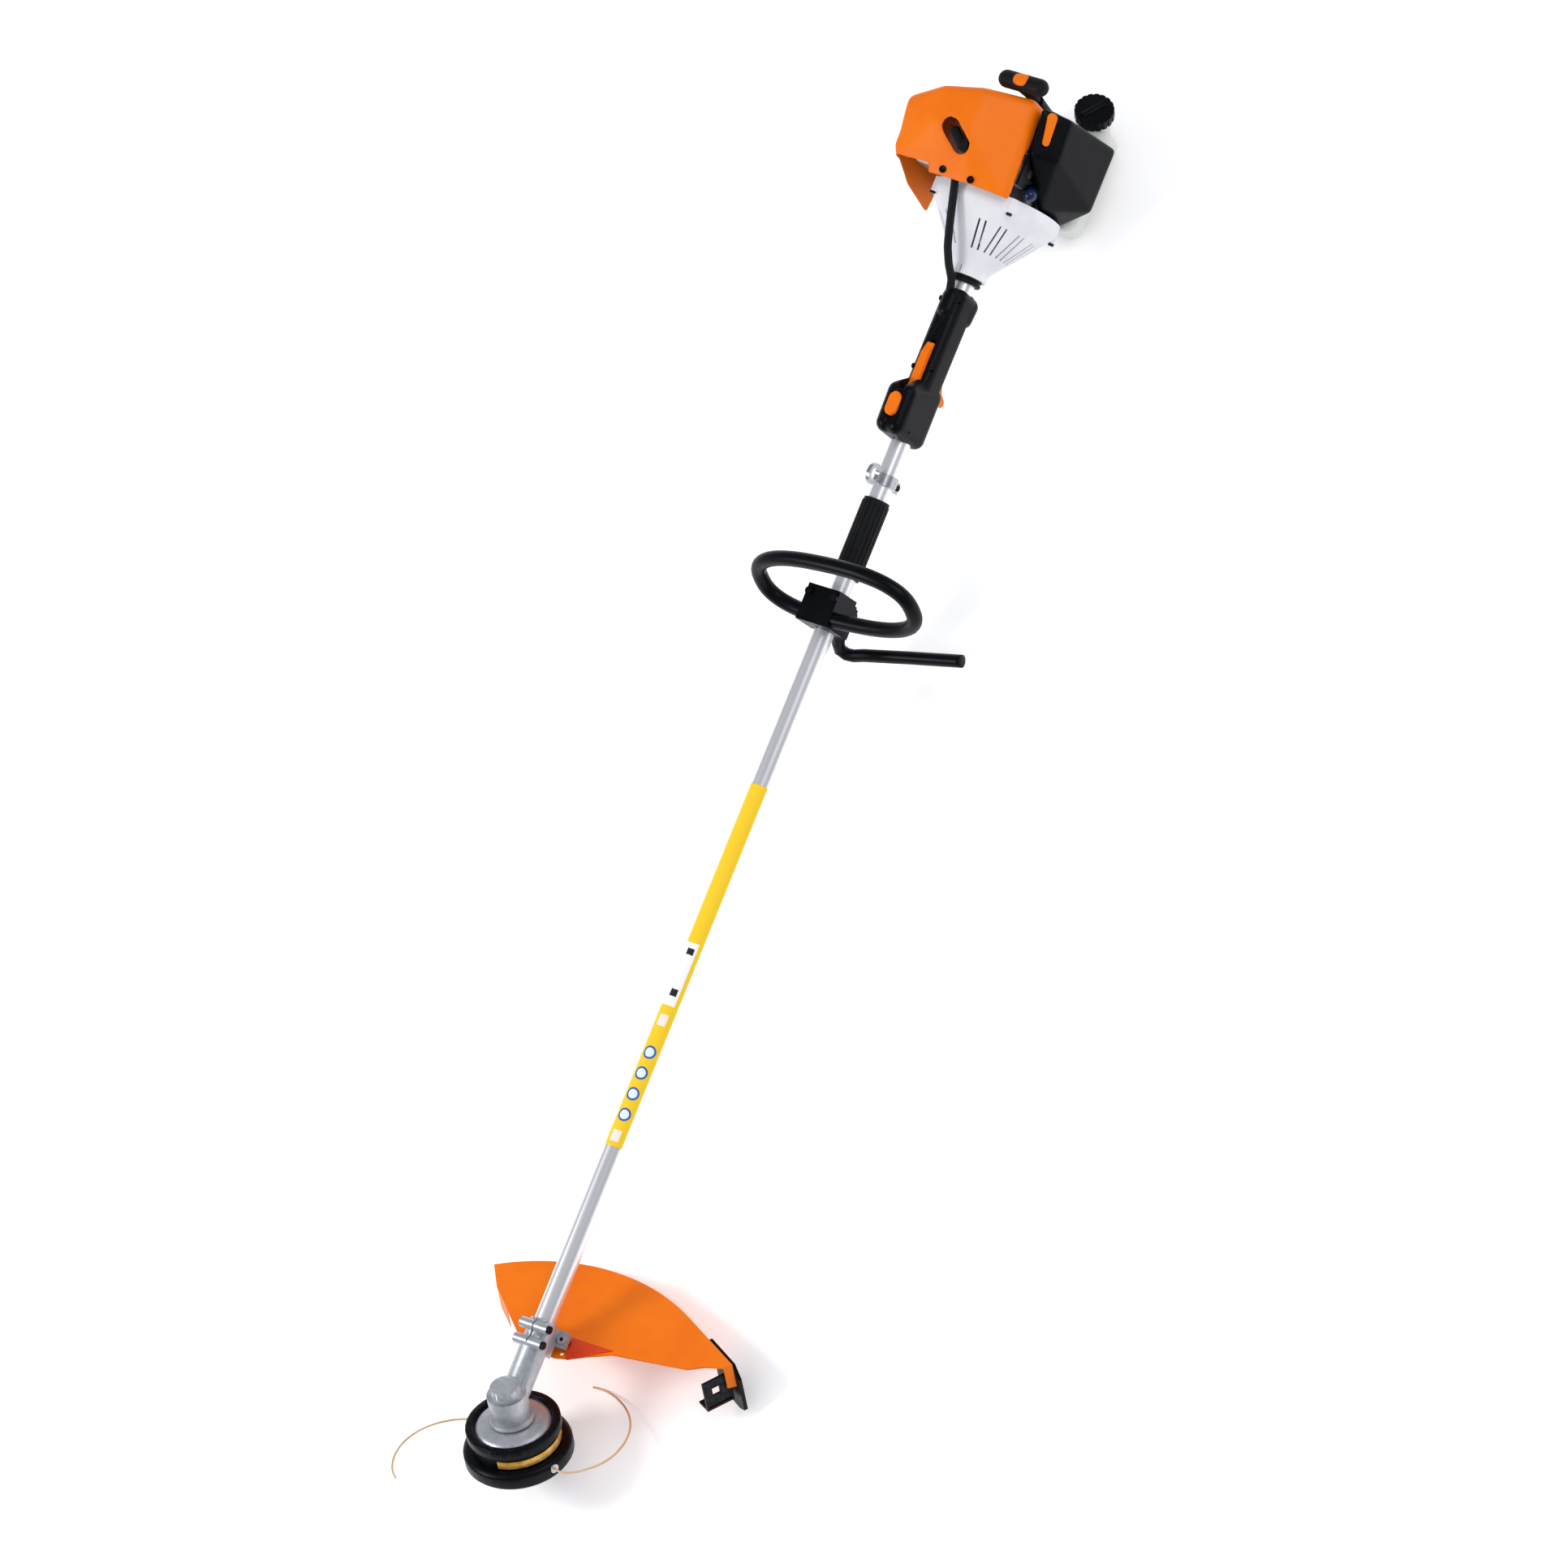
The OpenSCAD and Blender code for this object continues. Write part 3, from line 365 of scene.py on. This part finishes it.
# %% Rubbers
black_rubber, tree, shader = finish(
    "moulded_black_rubber", "#06070A", IOR=1.52, Sheen_Weight=0.03, Specular_IOR_Level=0.25
)
where = places(tree)
mottle(tree, shader, where, 9, "#06070A", "#0C0E13")
rough(tree, shader, where, 6, 0.55, 0.75)
grain(tree, shader, where, 1.6, 0.15, 0.5)

primer_rubber, tree, shader = finish(
    "clear_blue_primer_rubber", "#16204A", IOR=1.45, Transmission_Weight=0.2
)
where = places(tree)
mottle(tree, shader, where, 8, "#10193E", "#1D2A5C")
rough(tree, shader, where, 5, 0.15, 0.28)

# %% [markdown]
# ## Finishes of the metals
# The drive tube is drawn and anodised, so fine lines run along it and its highlight is long. The gear
# case is die-cast aluminium, blasted to an even grey with a pebbled skin. Steel parts are turned, zinc
# plated or blackened. A metal's colour is its reflection, and its IOR stays at the default.

# %% Metals
tube_aluminium, tree, shader = finish("drawn_anodised_aluminium", "#F0F0F2", Metallic=0.75)
where = places(tree, (0.02, 1, 1))
mottle(tree, shader, where, 3, "#ECECEF", "#F6F6F7")
rough(tree, shader, where, 2, 0.26, 0.4)
grain(tree, shader, where, 1.2, 0.02, 0.35)

cast_aluminium, tree, shader = finish("blasted_cast_aluminium", "#BFC1C6", Metallic=0.7)
where = places(tree)
mottle(tree, shader, where, 7, "#B6B9BF", "#C4C6CB")
rough(tree, shader, where, 5, 0.36, 0.48)
grain(tree, shader, where, 1.8, 0.06, 0.35)

turned_steel, tree, shader = finish("turned_steel", "#B5B6BA", Metallic=0.85)
where = places(tree)
mottle(tree, shader, where, 5, "#B0B1B6", "#BEBFC3")
rough(tree, shader, where, 3, 0.24, 0.34)
grain(tree, shader, where, 1.0, 0.015, 0.2)

black_steel, tree, shader = finish("blackened_steel", "#1C1D20", Metallic=0.9)
where = places(tree)
mottle(tree, shader, where, 5, "#141518", "#292A2E")
rough(tree, shader, where, 4, 0.35, 0.5)
grain(tree, shader, where, 1.2, 0.05, 0.4)

# %% [markdown]
# ## Small finishes
# The spark plug's insulator is glazed ceramic, the filter is pleated paper, and the starter rope is a
# braid. The braid is drawn with a wave along the rope, about 2 mm from strand to strand.

# %% Ceramic, paper and rope
glazed_ceramic, tree, shader = finish("glazed_ceramic", "#E8E6DE", IOR=1.6, Coat_Weight=0.5)
where = places(tree)
mottle(tree, shader, where, 12, "#E3E0D7", "#EFEDE6")
rough(tree, shader, where, 8, 0.12, 0.22)

filter_paper, tree, shader = finish("pleated_filter_paper", "#D9CBA0", Roughness=0.9, Sheen_Weight=0.2)
where = places(tree)
mottle(tree, shader, where, 4, "#D0C091", "#E2D6B1")
grain(tree, shader, where, 1.5, 0.1)

rope_braid, tree, shader = finish("braided_polyester", "#CFCCC0", Roughness=0.8, Sheen_Weight=0.3)
where = places(tree)
strands = add(
    tree,
    "ShaderNodeTexWave",
    {"Scale": 160, "Distortion": 1.5, "bands_direction": "DIAGONAL"},
    Vector=where,
)
strand_bump = add(
    tree,
    "ShaderNodeBump",
    {"Strength": 0.7, "Distance": 0.4 * MM},
    Height=strands.outputs["Fac"],
)
tree.links.new(strand_bump.outputs["Normal"], shader.inputs["Normal"])
mottle(tree, shader, where, 3, "#C2BEB0", "#DAD8CE")

# %% [markdown]
# ## Finishes on the CAD nodes
# Each CAD node keeps its shape and takes its finish by its material slot in the record, so that one
# table covers the whole machine.

# %% Assign the finishes
slot_finish = {
    "white_plastic": white_polyamide,
    "tank_plastic": tank_polyethylene,
    "orange_plastic": orange_polyamide,
    "black_plastic": black_polyamide,
    "black_rubber": black_rubber,
    "cast_aluminium": cast_aluminium,
    "tube_aluminium": tube_aluminium,
    "steel": turned_steel,
    "dark_steel": black_steel,
    "ceramic": glazed_ceramic,
    "paper": filter_paper,
    "bush_nylon": natural_nylon,
    "rope": rope_braid,
    "line_nylon": line_nylon,
    "primer_rubber": primer_rubber,
}
slot_of_node = {s["node"]: s["material_slot"] for s in frame["record"]["subparts"]}
body_of_node = {n: b for b, ns in frame["record"]["behaviour"]["bodies"].items() for n in ns}
for name, node in frame["nodes"].items():
    node.data.materials.clear()
    node.data.materials.append(slot_finish[slot_of_node[name]])
print(len(frame["nodes"]), "nodes have a finish")

# %% [markdown]
# ## Smooth mouldings
# Rounded mouldings reach Blender as many flat facets. The real ones flow, so a copy of each is merged
# into one skin, shaded smooth up to an angle, and its shading is weighted by the size of the faces, so
# that broad faces stay true and only the fillets between them turn. The copy replaces the node.

# %% Smooth copies
SMOOTH = {
    "engine_shroud": 32,
    "filter_cover": 28,
    "fuel_tank": 32,
    "handle_left": 32,
    "handle_right": 32,
    "loop_handle": 40,
    "barrier_bar": 40,
    "throttle_cable": 40,
    "plug_boot": 32,
    "choke_knob": 30,
    "stop_button": 30,
    "drive_tube": 40,
    "gear_case": 30,
    "thrust_plate": 30,
    "fan_housing": 30,
    "head_housing": 30,
    "head_base": 30,
    "bump_knob": 30,
    "starter_grip": 35,
    "grip_sleeve": 30,
    "fuel_cap": 30,
    "starter_housing": 30,
}


# These shells are hulls of balls: they are skinned again on a fine grid, and relaxed.
RESKIN = {"engine_shroud": 1.4, "filter_cover": 1.2}
RELAX_TURNS = 45


def smooth_copy(node, angle):
    """A merged copy of a CAD node, smooth up to the angle, that stands for the node."""
    clear_selection()
    copy = frame["nodes"][node].copy()
    copy.data = frame["nodes"][node].data.copy()
    copy.parent = None
    bpy.context.scene.collection.objects.link(copy)
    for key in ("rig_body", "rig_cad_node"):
        del copy[key]
    pick(copy)
    bpy.ops.object.mode_set(mode="EDIT")
    bpy.ops.mesh.select_all(action="SELECT")
    bpy.ops.mesh.remove_doubles(threshold=0.00002)
    bpy.ops.object.mode_set(mode="OBJECT")
    if node in RESKIN:
        modify(copy, "REMESH", mode="VOXEL", voxel_size=RESKIN[node] * MM)
        modify(copy, "SMOOTH", factor=0.5, iterations=RELAX_TURNS)
    slot = slot_of_node[node]
    finish_piece(copy, node + "_moulding", slot_finish[slot], body_of_node[node], angle)
    modify(copy, "WEIGHTED_NORMAL", keep_sharp=True, weight=80)
    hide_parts(node)
    return copy


smooth = {node: smooth_copy(node, angle) for node, angle in SMOOTH.items()}
print(sum(len(p.data.polygons) for p in smooth.values()), "faces in the smooth copies")

# %% [markdown]
# ## Sticker on the drive tube
# A printed film is wrapped on the tube. Its picture is left out: what stays is its yellow ground, a
# white field, two black blocks and a row of plain blue dots. The film is cut from a cylinder a little
# thicker than the tube, and its pattern is laid out in millimetres along the tube and round it.

# %% Printed film
# The pattern is centred on the line of the tube that looks at the camera.
FACING = math.degrees(math.atan2(towards_camera.y, towards_camera.z))
sticker_film, tree, shader = finish("printed_vinyl_film", "#F2C811", IOR=1.5, Roughness=0.35)
coordinates = add(tree, "ShaderNodeTexCoord").outputs["Object"]
centred = add(
    tree, "ShaderNodeVectorMath", {"operation": "SUBTRACT", "input_1": HEAD}, Vector=coordinates
)
turned = add(
    tree,
    "ShaderNodeVectorRotate",
    {"rotation_type": "X_AXIS", "Angle": math.radians(FACING)},
    Vector=centred.outputs[0],
)
parts = add(tree, "ShaderNodeSeparateXYZ", Vector=turned.outputs[0])


def math_node(operation, first, second=None, clamp=False):
    """A Math node on a socket and a number or a second socket."""
    node = add(tree, "ShaderNodeMath", {"operation": operation, "use_clamp": clamp}, input_0=first)
    if isinstance(second, (int, float)):
        node.inputs[1].default_value = second
    elif second is not None:
        tree.links.new(second, node.inputs[1])
    return node.outputs[0]


def between(value, low, high):
    """1 where the value is between the two, else 0."""
    above = math_node("GREATER_THAN", value, low)
    return math_node("MULTIPLY", above, math_node("LESS_THAN", value, high))


station = math_node("MULTIPLY", parts.outputs["X"], 1000.0)
angle_round = math_node("ARCTAN2", parts.outputs["Y"], parts.outputs["Z"])
round_mm = math_node("MULTIPLY", angle_round, -TUBE_R)

DOT_PITCH = 26.6
DOT_FIRST = 358.7
DOT_R = 8.3
DOT_RIM = 2.6
DOT_OFFSET = 4.5
WHITE_FIELD = (512, 592)
in_pitch = math_node("FLOORED_MODULO", math_node("SUBTRACT", station, DOT_FIRST), DOT_PITCH)
along_dot = math_node("SUBTRACT", in_pitch, DOT_PITCH / 2)
across_dot = math_node("ADD", round_mm, DOT_OFFSET)
dot_distance = math_node(
    "SQRT",
    math_node(
        "ADD",
        math_node("MULTIPLY", along_dot, along_dot),
        math_node("MULTIPLY", across_dot, across_dot),
    ),
)
in_row = between(station, DOT_FIRST, DOT_FIRST + 4 * DOT_PITCH)
dot = math_node("MULTIPLY", math_node("LESS_THAN", dot_distance, DOT_R), in_row)
dot_core = math_node("MULTIPLY", math_node("LESS_THAN", dot_distance, DOT_R - DOT_RIM), in_row)
left_half = math_node("LESS_THAN", round_mm, 3.0)
white_field = math_node("MULTIPLY", between(station, *WHITE_FIELD), left_half)
blocks = math_node(
    "MULTIPLY",
    math_node("ADD", between(station, 577, 585), between(station, 524, 533), clamp=True),
    between(round_mm, -9.0, 0.0),
)
marks = math_node(
    "MULTIPLY",
    math_node("ADD", between(station, 486, 500), between(station, 338, 352), clamp=True),
    between(round_mm, -10.0, 1.0),
)
colour = None
for mask, over in (
    (white_field, "#F1F0F2"),
    (blocks, "#1B1B22"),
    (marks, "#F3E3DC"),
    (dot, "#2E5FA8"),
    (dot_core, "#DCE9F2"),
):
    layer = add(tree, "ShaderNodeMix", {"data_type": "RGBA"}, input_0=mask)
    layer.inputs[6].default_value = linear("#F2C811")
    layer.inputs[7].default_value = linear(over)
    if colour is not None:
        tree.links.new(colour, layer.inputs[6])
    colour = layer.outputs[2]
tree.links.new(colour, shader.inputs["Base Color"])
rough(tree, shader, places(tree), 20, 0.28, 0.42)

# %% The film on the tube
FILM_ENDS = (332, 796)
FILM_SIDES = (-125, 42)
FILM_LIFT = 0.12
FILM_THICKNESS = 0.1
clear_selection()
bpy.ops.mesh.primitive_cylinder_add(
    vertices=96,
    radius=(TUBE_R + FILM_LIFT) * MM,
    depth=(FILM_ENDS[1] - FILM_ENDS[0]) * MM,
    end_fill_type="NOTHING",
    location=on_machine(sum(FILM_ENDS) / 2, 0, 0),
    rotation=(0, math.pi / 2, 0),
)
film = bpy.context.object
bpy.ops.object.transform_apply(location=True, rotation=True, scale=True)


def film_angle(point):
    """Degrees round the tube from the face that looks at the camera, to the picture's right."""
    d = Vector((0, point.y - HEAD.y, point.z - HEAD.z))
    facing = Vector((0, towards_camera.y, towards_camera.z)).normalized()
    right = Vector((0, picture_right.y, picture_right.z)).normalized()
    return math.degrees(math.atan2(d.dot(right), d.dot(facing)))


select_faces(film, lambda centre, normal: not FILM_SIDES[0] < film_angle(centre) < FILM_SIDES[1])
bpy.ops.mesh.delete(type="FACE")
bpy.ops.object.mode_set(mode="OBJECT")
modify(film, "SOLIDIFY", thickness=FILM_THICKNESS * MM, offset=1)
outward(film)
finish_piece(film, "tube_sticker", sticker_film, "machine")
print("film", FILM_ENDS[1] - FILM_ENDS[0], "mm long")

# %% [markdown]
# ## Bands on the mowing head
# Two plain gold bands sit in the head's waist, one for each line. Each is a length of thin printed
# metal, so it is cut from a cylinder as the film is, given a thickness, and its long edges are bevelled.

# %% Gold bands
gold_foil, tree, shader = finish("gold_printed_foil", "#D9A032", Metallic=0.5)
where = places(tree)
mottle(tree, shader, where, 14, "#C98A22", "#EBC062")
rough(tree, shader, where, 6, 0.28, 0.42)
grain(tree, shader, where, 1.5, 0.04)

BAND_R = 53.5
BAND_LEVELS = (-50, -39.5)
BAND_THICKNESS = 0.9
BAND_SPANS = [(-169, -48), (11, 132)]
for number, (start, end) in enumerate(BAND_SPANS):
    clear_selection()
    bpy.ops.mesh.primitive_cylinder_add(
        vertices=120,
        radius=(BAND_R + 0.15) * MM,
        depth=(BAND_LEVELS[1] - BAND_LEVELS[0]) * MM,
        end_fill_type="NOTHING",
        location=(0, 0, sum(BAND_LEVELS) / 2 * MM),
    )
    band = bpy.context.object
    bpy.ops.object.transform_apply(location=True, rotation=True, scale=True)
    select_faces(
        band,
        lambda centre, normal: not start < math.degrees(math.atan2(centre.y, centre.x)) < end,
    )
    bpy.ops.mesh.delete(type="FACE")
    bpy.ops.object.mode_set(mode="OBJECT")
    modify(band, "SOLIDIFY", thickness=BAND_THICKNESS * MM, offset=1)
    modify(band, "BEVEL", width=0.3 * MM, segments=2, limit_method="ANGLE")
    outward(band)
    band.matrix_world = Matrix.Translation(HEAD) @ LEAN
    finish_piece(band, "head_band_" + str(number + 1), gold_foil, "mowing_head")
print("bands are", BAND_LEVELS[1] - BAND_LEVELS[0], "mm high")

# %% [markdown]
# ## Painted shade on the deflector
# A darker red sheet lies on the deflector's sloping roof, between the clamp and the front wall. It is
# painted shade for a deflector wall that faces away from the light. It is a thin three-cornered plate,
# extruded from one face and with its edges rounded.

# %% Painted shade on the deflector
ROOF_SLOPE = math.tan(math.radians(8))
ROOF_FOOT = 75
ROOF_LEVEL = 24
SHADE_SHEET_THICKNESS = 3.2
SHADE_SHEET_CORNERS = [(109, 10), (110, 80), (78, 33)]
painted_shade_mesh = bpy.data.meshes.new("deflector_painted_shade")
painted_shade_mesh.from_pydata(
    [on_head(f, -left, ROOF_LEVEL + (f - ROOF_FOOT) * ROOF_SLOPE) for f, left in SHADE_SHEET_CORNERS],
    [],
    [(0, 1, 2)],
)
painted_shade_sheet = bpy.data.objects.new("deflector_painted_shade", painted_shade_mesh)
bpy.context.scene.collection.objects.link(painted_shade_sheet)
modify(painted_shade_sheet, "SOLIDIFY", thickness=SHADE_SHEET_THICKNESS * MM, offset=0)
modify(painted_shade_sheet, "BEVEL", width=0.7 * MM, segments=3, limit_method="ANGLE")
outward(painted_shade_sheet)
# The darker red given here is painted shade on the deflector's roof.
finish_piece(painted_shade_sheet, "deflector_painted_shade", painted_shade_orange, "machine")
print("painted_shade_sheet", [round(d * 1000, 1) for d in painted_shade_sheet.dimensions])

# %% [markdown]
# ## Centre of the starter grip
# The T-shaped grip has an orange plug pressed into the middle of its top. It is a flattened ball: a
# sphere scaled down along the rope and cut at its foot, so that it stands slightly proud.

# %% Grip plug
ROPE_LEAN = math.radians(12)
ROPE = Matrix.Rotation(ROPE_LEAN, 4, "Y")
ROPE_START = Vector((1661, -32, 0))
PLUG_HALF_SIZES = (8.2, 12.5, 5.0)
PLUG_LEVEL = 106.8


def on_rope(x, y, up):
    """A place beside the starter rope, in millimetres, as a place in the frame."""
    return on_machine(*(ROPE_START + (ROPE @ Vector((x, y, up)))))


clear_selection()
bpy.ops.mesh.primitive_uv_sphere_add(segments=48, ring_count=24, radius=1)
plug = bpy.context.object
plug.scale = Vector(PLUG_HALF_SIZES) * MM
bpy.ops.object.transform_apply(location=False, rotation=False, scale=True)
pick(plug)
bpy.ops.object.mode_set(mode="EDIT")
bpy.ops.mesh.select_all(action="SELECT")
bpy.ops.mesh.bisect(plane_co=(0, 0, 0), plane_no=(0, 0, -1), clear_outer=True, use_fill=True)
bpy.ops.object.mode_set(mode="OBJECT")
modify(plug, "BEVEL", width=0.6 * MM, segments=3, limit_method="ANGLE")
plug.matrix_world = Matrix.Translation(on_rope(0, 0, PLUG_LEVEL)) @ ROPE
outward(plug)
finish_piece(plug, "starter_grip_plug", orange_polyamide, "starter_grip")
print("grip plug", [round(d * 1000, 1) for d in plug.dimensions])

# %% [markdown]
# ## Screws
# The mouldings are held by dark pan-head screws. One function makes each: a cylinder whose middle is
# inset and pushed in as a plain round recess, and whose edges are bevelled. It is then turned and put
# wherever a screw shows, each with a mesh of its own.

# %% Making a screw
def dome_screw(radius, height):
    """A domed screw head with a recess, its seat at the origin and its top towards +Z."""
    clear_selection()
    bpy.ops.mesh.primitive_cylinder_add(
        vertices=36, radius=radius * MM, depth=height * MM, location=(0, 0, height / 2 * MM)
    )
    head = bpy.context.object
    bpy.ops.object.transform_apply(location=True, rotation=True, scale=True)
    select_faces(head, lambda centre, normal: normal.z > 0.9)
    bpy.ops.mesh.inset(thickness=radius * 0.48 * MM)
    bpy.ops.mesh.extrude_region_move(TRANSFORM_OT_translate={"value": (0, 0, -height * 0.5 * MM)})
    bpy.ops.object.mode_set(mode="OBJECT")
    modify(head, "BEVEL", width=height * 0.28 * MM, segments=3, limit_method="ANGLE", angle_limit=0.9)
    outward(head)
    return head


def put_screw(name, radius, height, place, direction):
    """A screw head on the machine at that place, with its top towards the direction."""
    head = dome_screw(radius, height)
    head.matrix_world = (
        Matrix.Translation(place) @ direction.normalized().to_track_quat("Z", "Y").to_matrix().to_4x4()
    )
    finish_piece(head, name, black_steel, "machine")


# %% [markdown]
# ## Screws on the handle, the shroud and the gear case
# A handle in two halves is closed from its right side, the shroud is held along its front edge, and the
# gear case has a grease plug on its flank. Each screw has a place, a direction and a radius.

# %% Put the screws
SCREW_HEIGHT = 2.4
screw_places = {
    "handle_screw_1": (on_machine(1252, 19.2, 22), Vector((0, 1, 0)), 3.4),
    "handle_screw_2": (on_machine(1332, 12.7, 16.5), Vector((0, 1, 0)), 3.4),
    "handle_screw_3": (on_machine(1420, 12.5, 16.5), Vector((0, 1, 0)), 3.4),
    "grease_plug": (on_head(0, 23.6, 2), Vector((0, 1, 0)), 5.2),
    "shroud_screw_1": (on_machine(1550, -20, 106.4), Vector((-0.25, -0.2, 0.95)), 4.6),
    "shroud_screw_2": (on_machine(1552, 18, 112.0), Vector((-0.25, -0.1, 0.96)), 4.6),
}
for name, (place, direction, radius) in screw_places.items():
    put_screw(name, radius, SCREW_HEIGHT, place, direction)
print(len(screw_places), "screws")

# %% [markdown]
# ## Seal at the fan housing
# A black rubber sleeve closes the gap between the drive tube and the nose of the fan housing. It is
# spun from a short outline: two lips with a waist between them.

# %% Rubber sleeve
SEAL_FRONT = 1447
SEAL_OUTLINE = [
    (0, TUBE_R + 0.1), (0, 17.5), (1.2, 18.6), (3.2, 18.6), (4.4, 17),
    (5.4, 17), (6.4, 18.6), (7.6, 18.6), (7.6, TUBE_R + 0.1),
]
clear_selection()
outline_mesh = bpy.data.meshes.new("seal")
outline_mesh.from_pydata(
    [(on_machine(SEAL_FRONT + x, 0, r)) for x, r in SEAL_OUTLINE],
    [(i, i + 1) for i in range(len(SEAL_OUTLINE) - 1)] + [(len(SEAL_OUTLINE) - 1, 0)],
    [],
)
seal = bpy.data.objects.new("seal", outline_mesh)
bpy.context.scene.collection.objects.link(seal)
pick(seal)
bpy.ops.object.mode_set(mode="EDIT")
bpy.ops.mesh.select_all(action="SELECT")
bpy.ops.mesh.spin(steps=64, angle=2 * math.pi, center=HEAD, axis=(1, 0, 0))
bpy.ops.object.mode_set(mode="OBJECT")
outward(seal)
finish_piece(seal, "tube_seal", black_rubber, "machine")
print("seal", [round(d * 1000, 1) for d in seal.dimensions])

# %% [markdown]
# ## Stage
# The machine lies on a plain white floor under soft light. A key light stands on the camera's
# left, a broader one fills from the right, and the world is nearly white, so that shadows are pale.
# Mirrored rays meet a darker room than diffuse light does, so that black plastics stay black.

# %% Floor
FLOOR_SIZE = 14
# The floor lies a hair under the machine's lowest point, so that no two faces share a plane.
FLOOR_CENTRE = (-0.8, 0, -0.0005)
floor_paint, tree, shader = finish(
    "white_floor", "#FFFFFF", Roughness=0.9, Specular_IOR_Level=0.1, Emission_Strength=0.16
)
where = places(tree)
mottle(tree, shader, where, 900, "#FCFCFD", "#FFFFFF")
clear_selection()
bpy.ops.mesh.primitive_plane_add(size=FLOOR_SIZE, location=FLOOR_CENTRE)
floor = bpy.context.object
floor.name = "floor"
floor.data.materials.append(floor_paint)

# %% Lights
world = bpy.data.worlds.new("studio")
bpy.context.scene.world = world
world.use_nodes = True
tree = world.node_tree
sky = tree.nodes["Background"]
sky.inputs["Color"].default_value = (0.96, 0.97, 1.0, 1)
sky.inputs["Strength"].default_value = 0.8
dark_room = add(tree, "ShaderNodeBackground", {"Color": (0.62, 0.66, 0.74, 1), "Strength": 0.4})
ray = add(tree, "ShaderNodeLightPath")
room = add(
    tree,
    "ShaderNodeMixShader",
    input_0=ray.outputs["Is Glossy Ray"],
    input_1=sky.outputs[0],
    input_2=dark_room.outputs[0],
)
tree.links.new(room.outputs[0], tree.nodes["World Output"].inputs["Surface"])
bpy.context.scene.view_settings.view_transform = "Standard"


def soft_light(name, place, target, size, watts):
    """A square area light at that place, turned towards its target."""
    light = bpy.data.objects.new(name, bpy.data.lights.new(name, "AREA"))
    light.data.size = size
    light.data.energy = watts
    light.location = place
    light.rotation_euler = (Vector(place) - Vector(target)).to_track_quat("Z", "Y").to_euler()
    bpy.context.scene.collection.objects.link(light)


soft_light("key", (-2.1, 1.7, 2.5), (-0.9, 0, 0), 0.9, 40)
soft_light("fill", (0.9, -1.8, 2.6), (-0.4, 0, 0), 1.6, 26)
print("two lights and a white world")
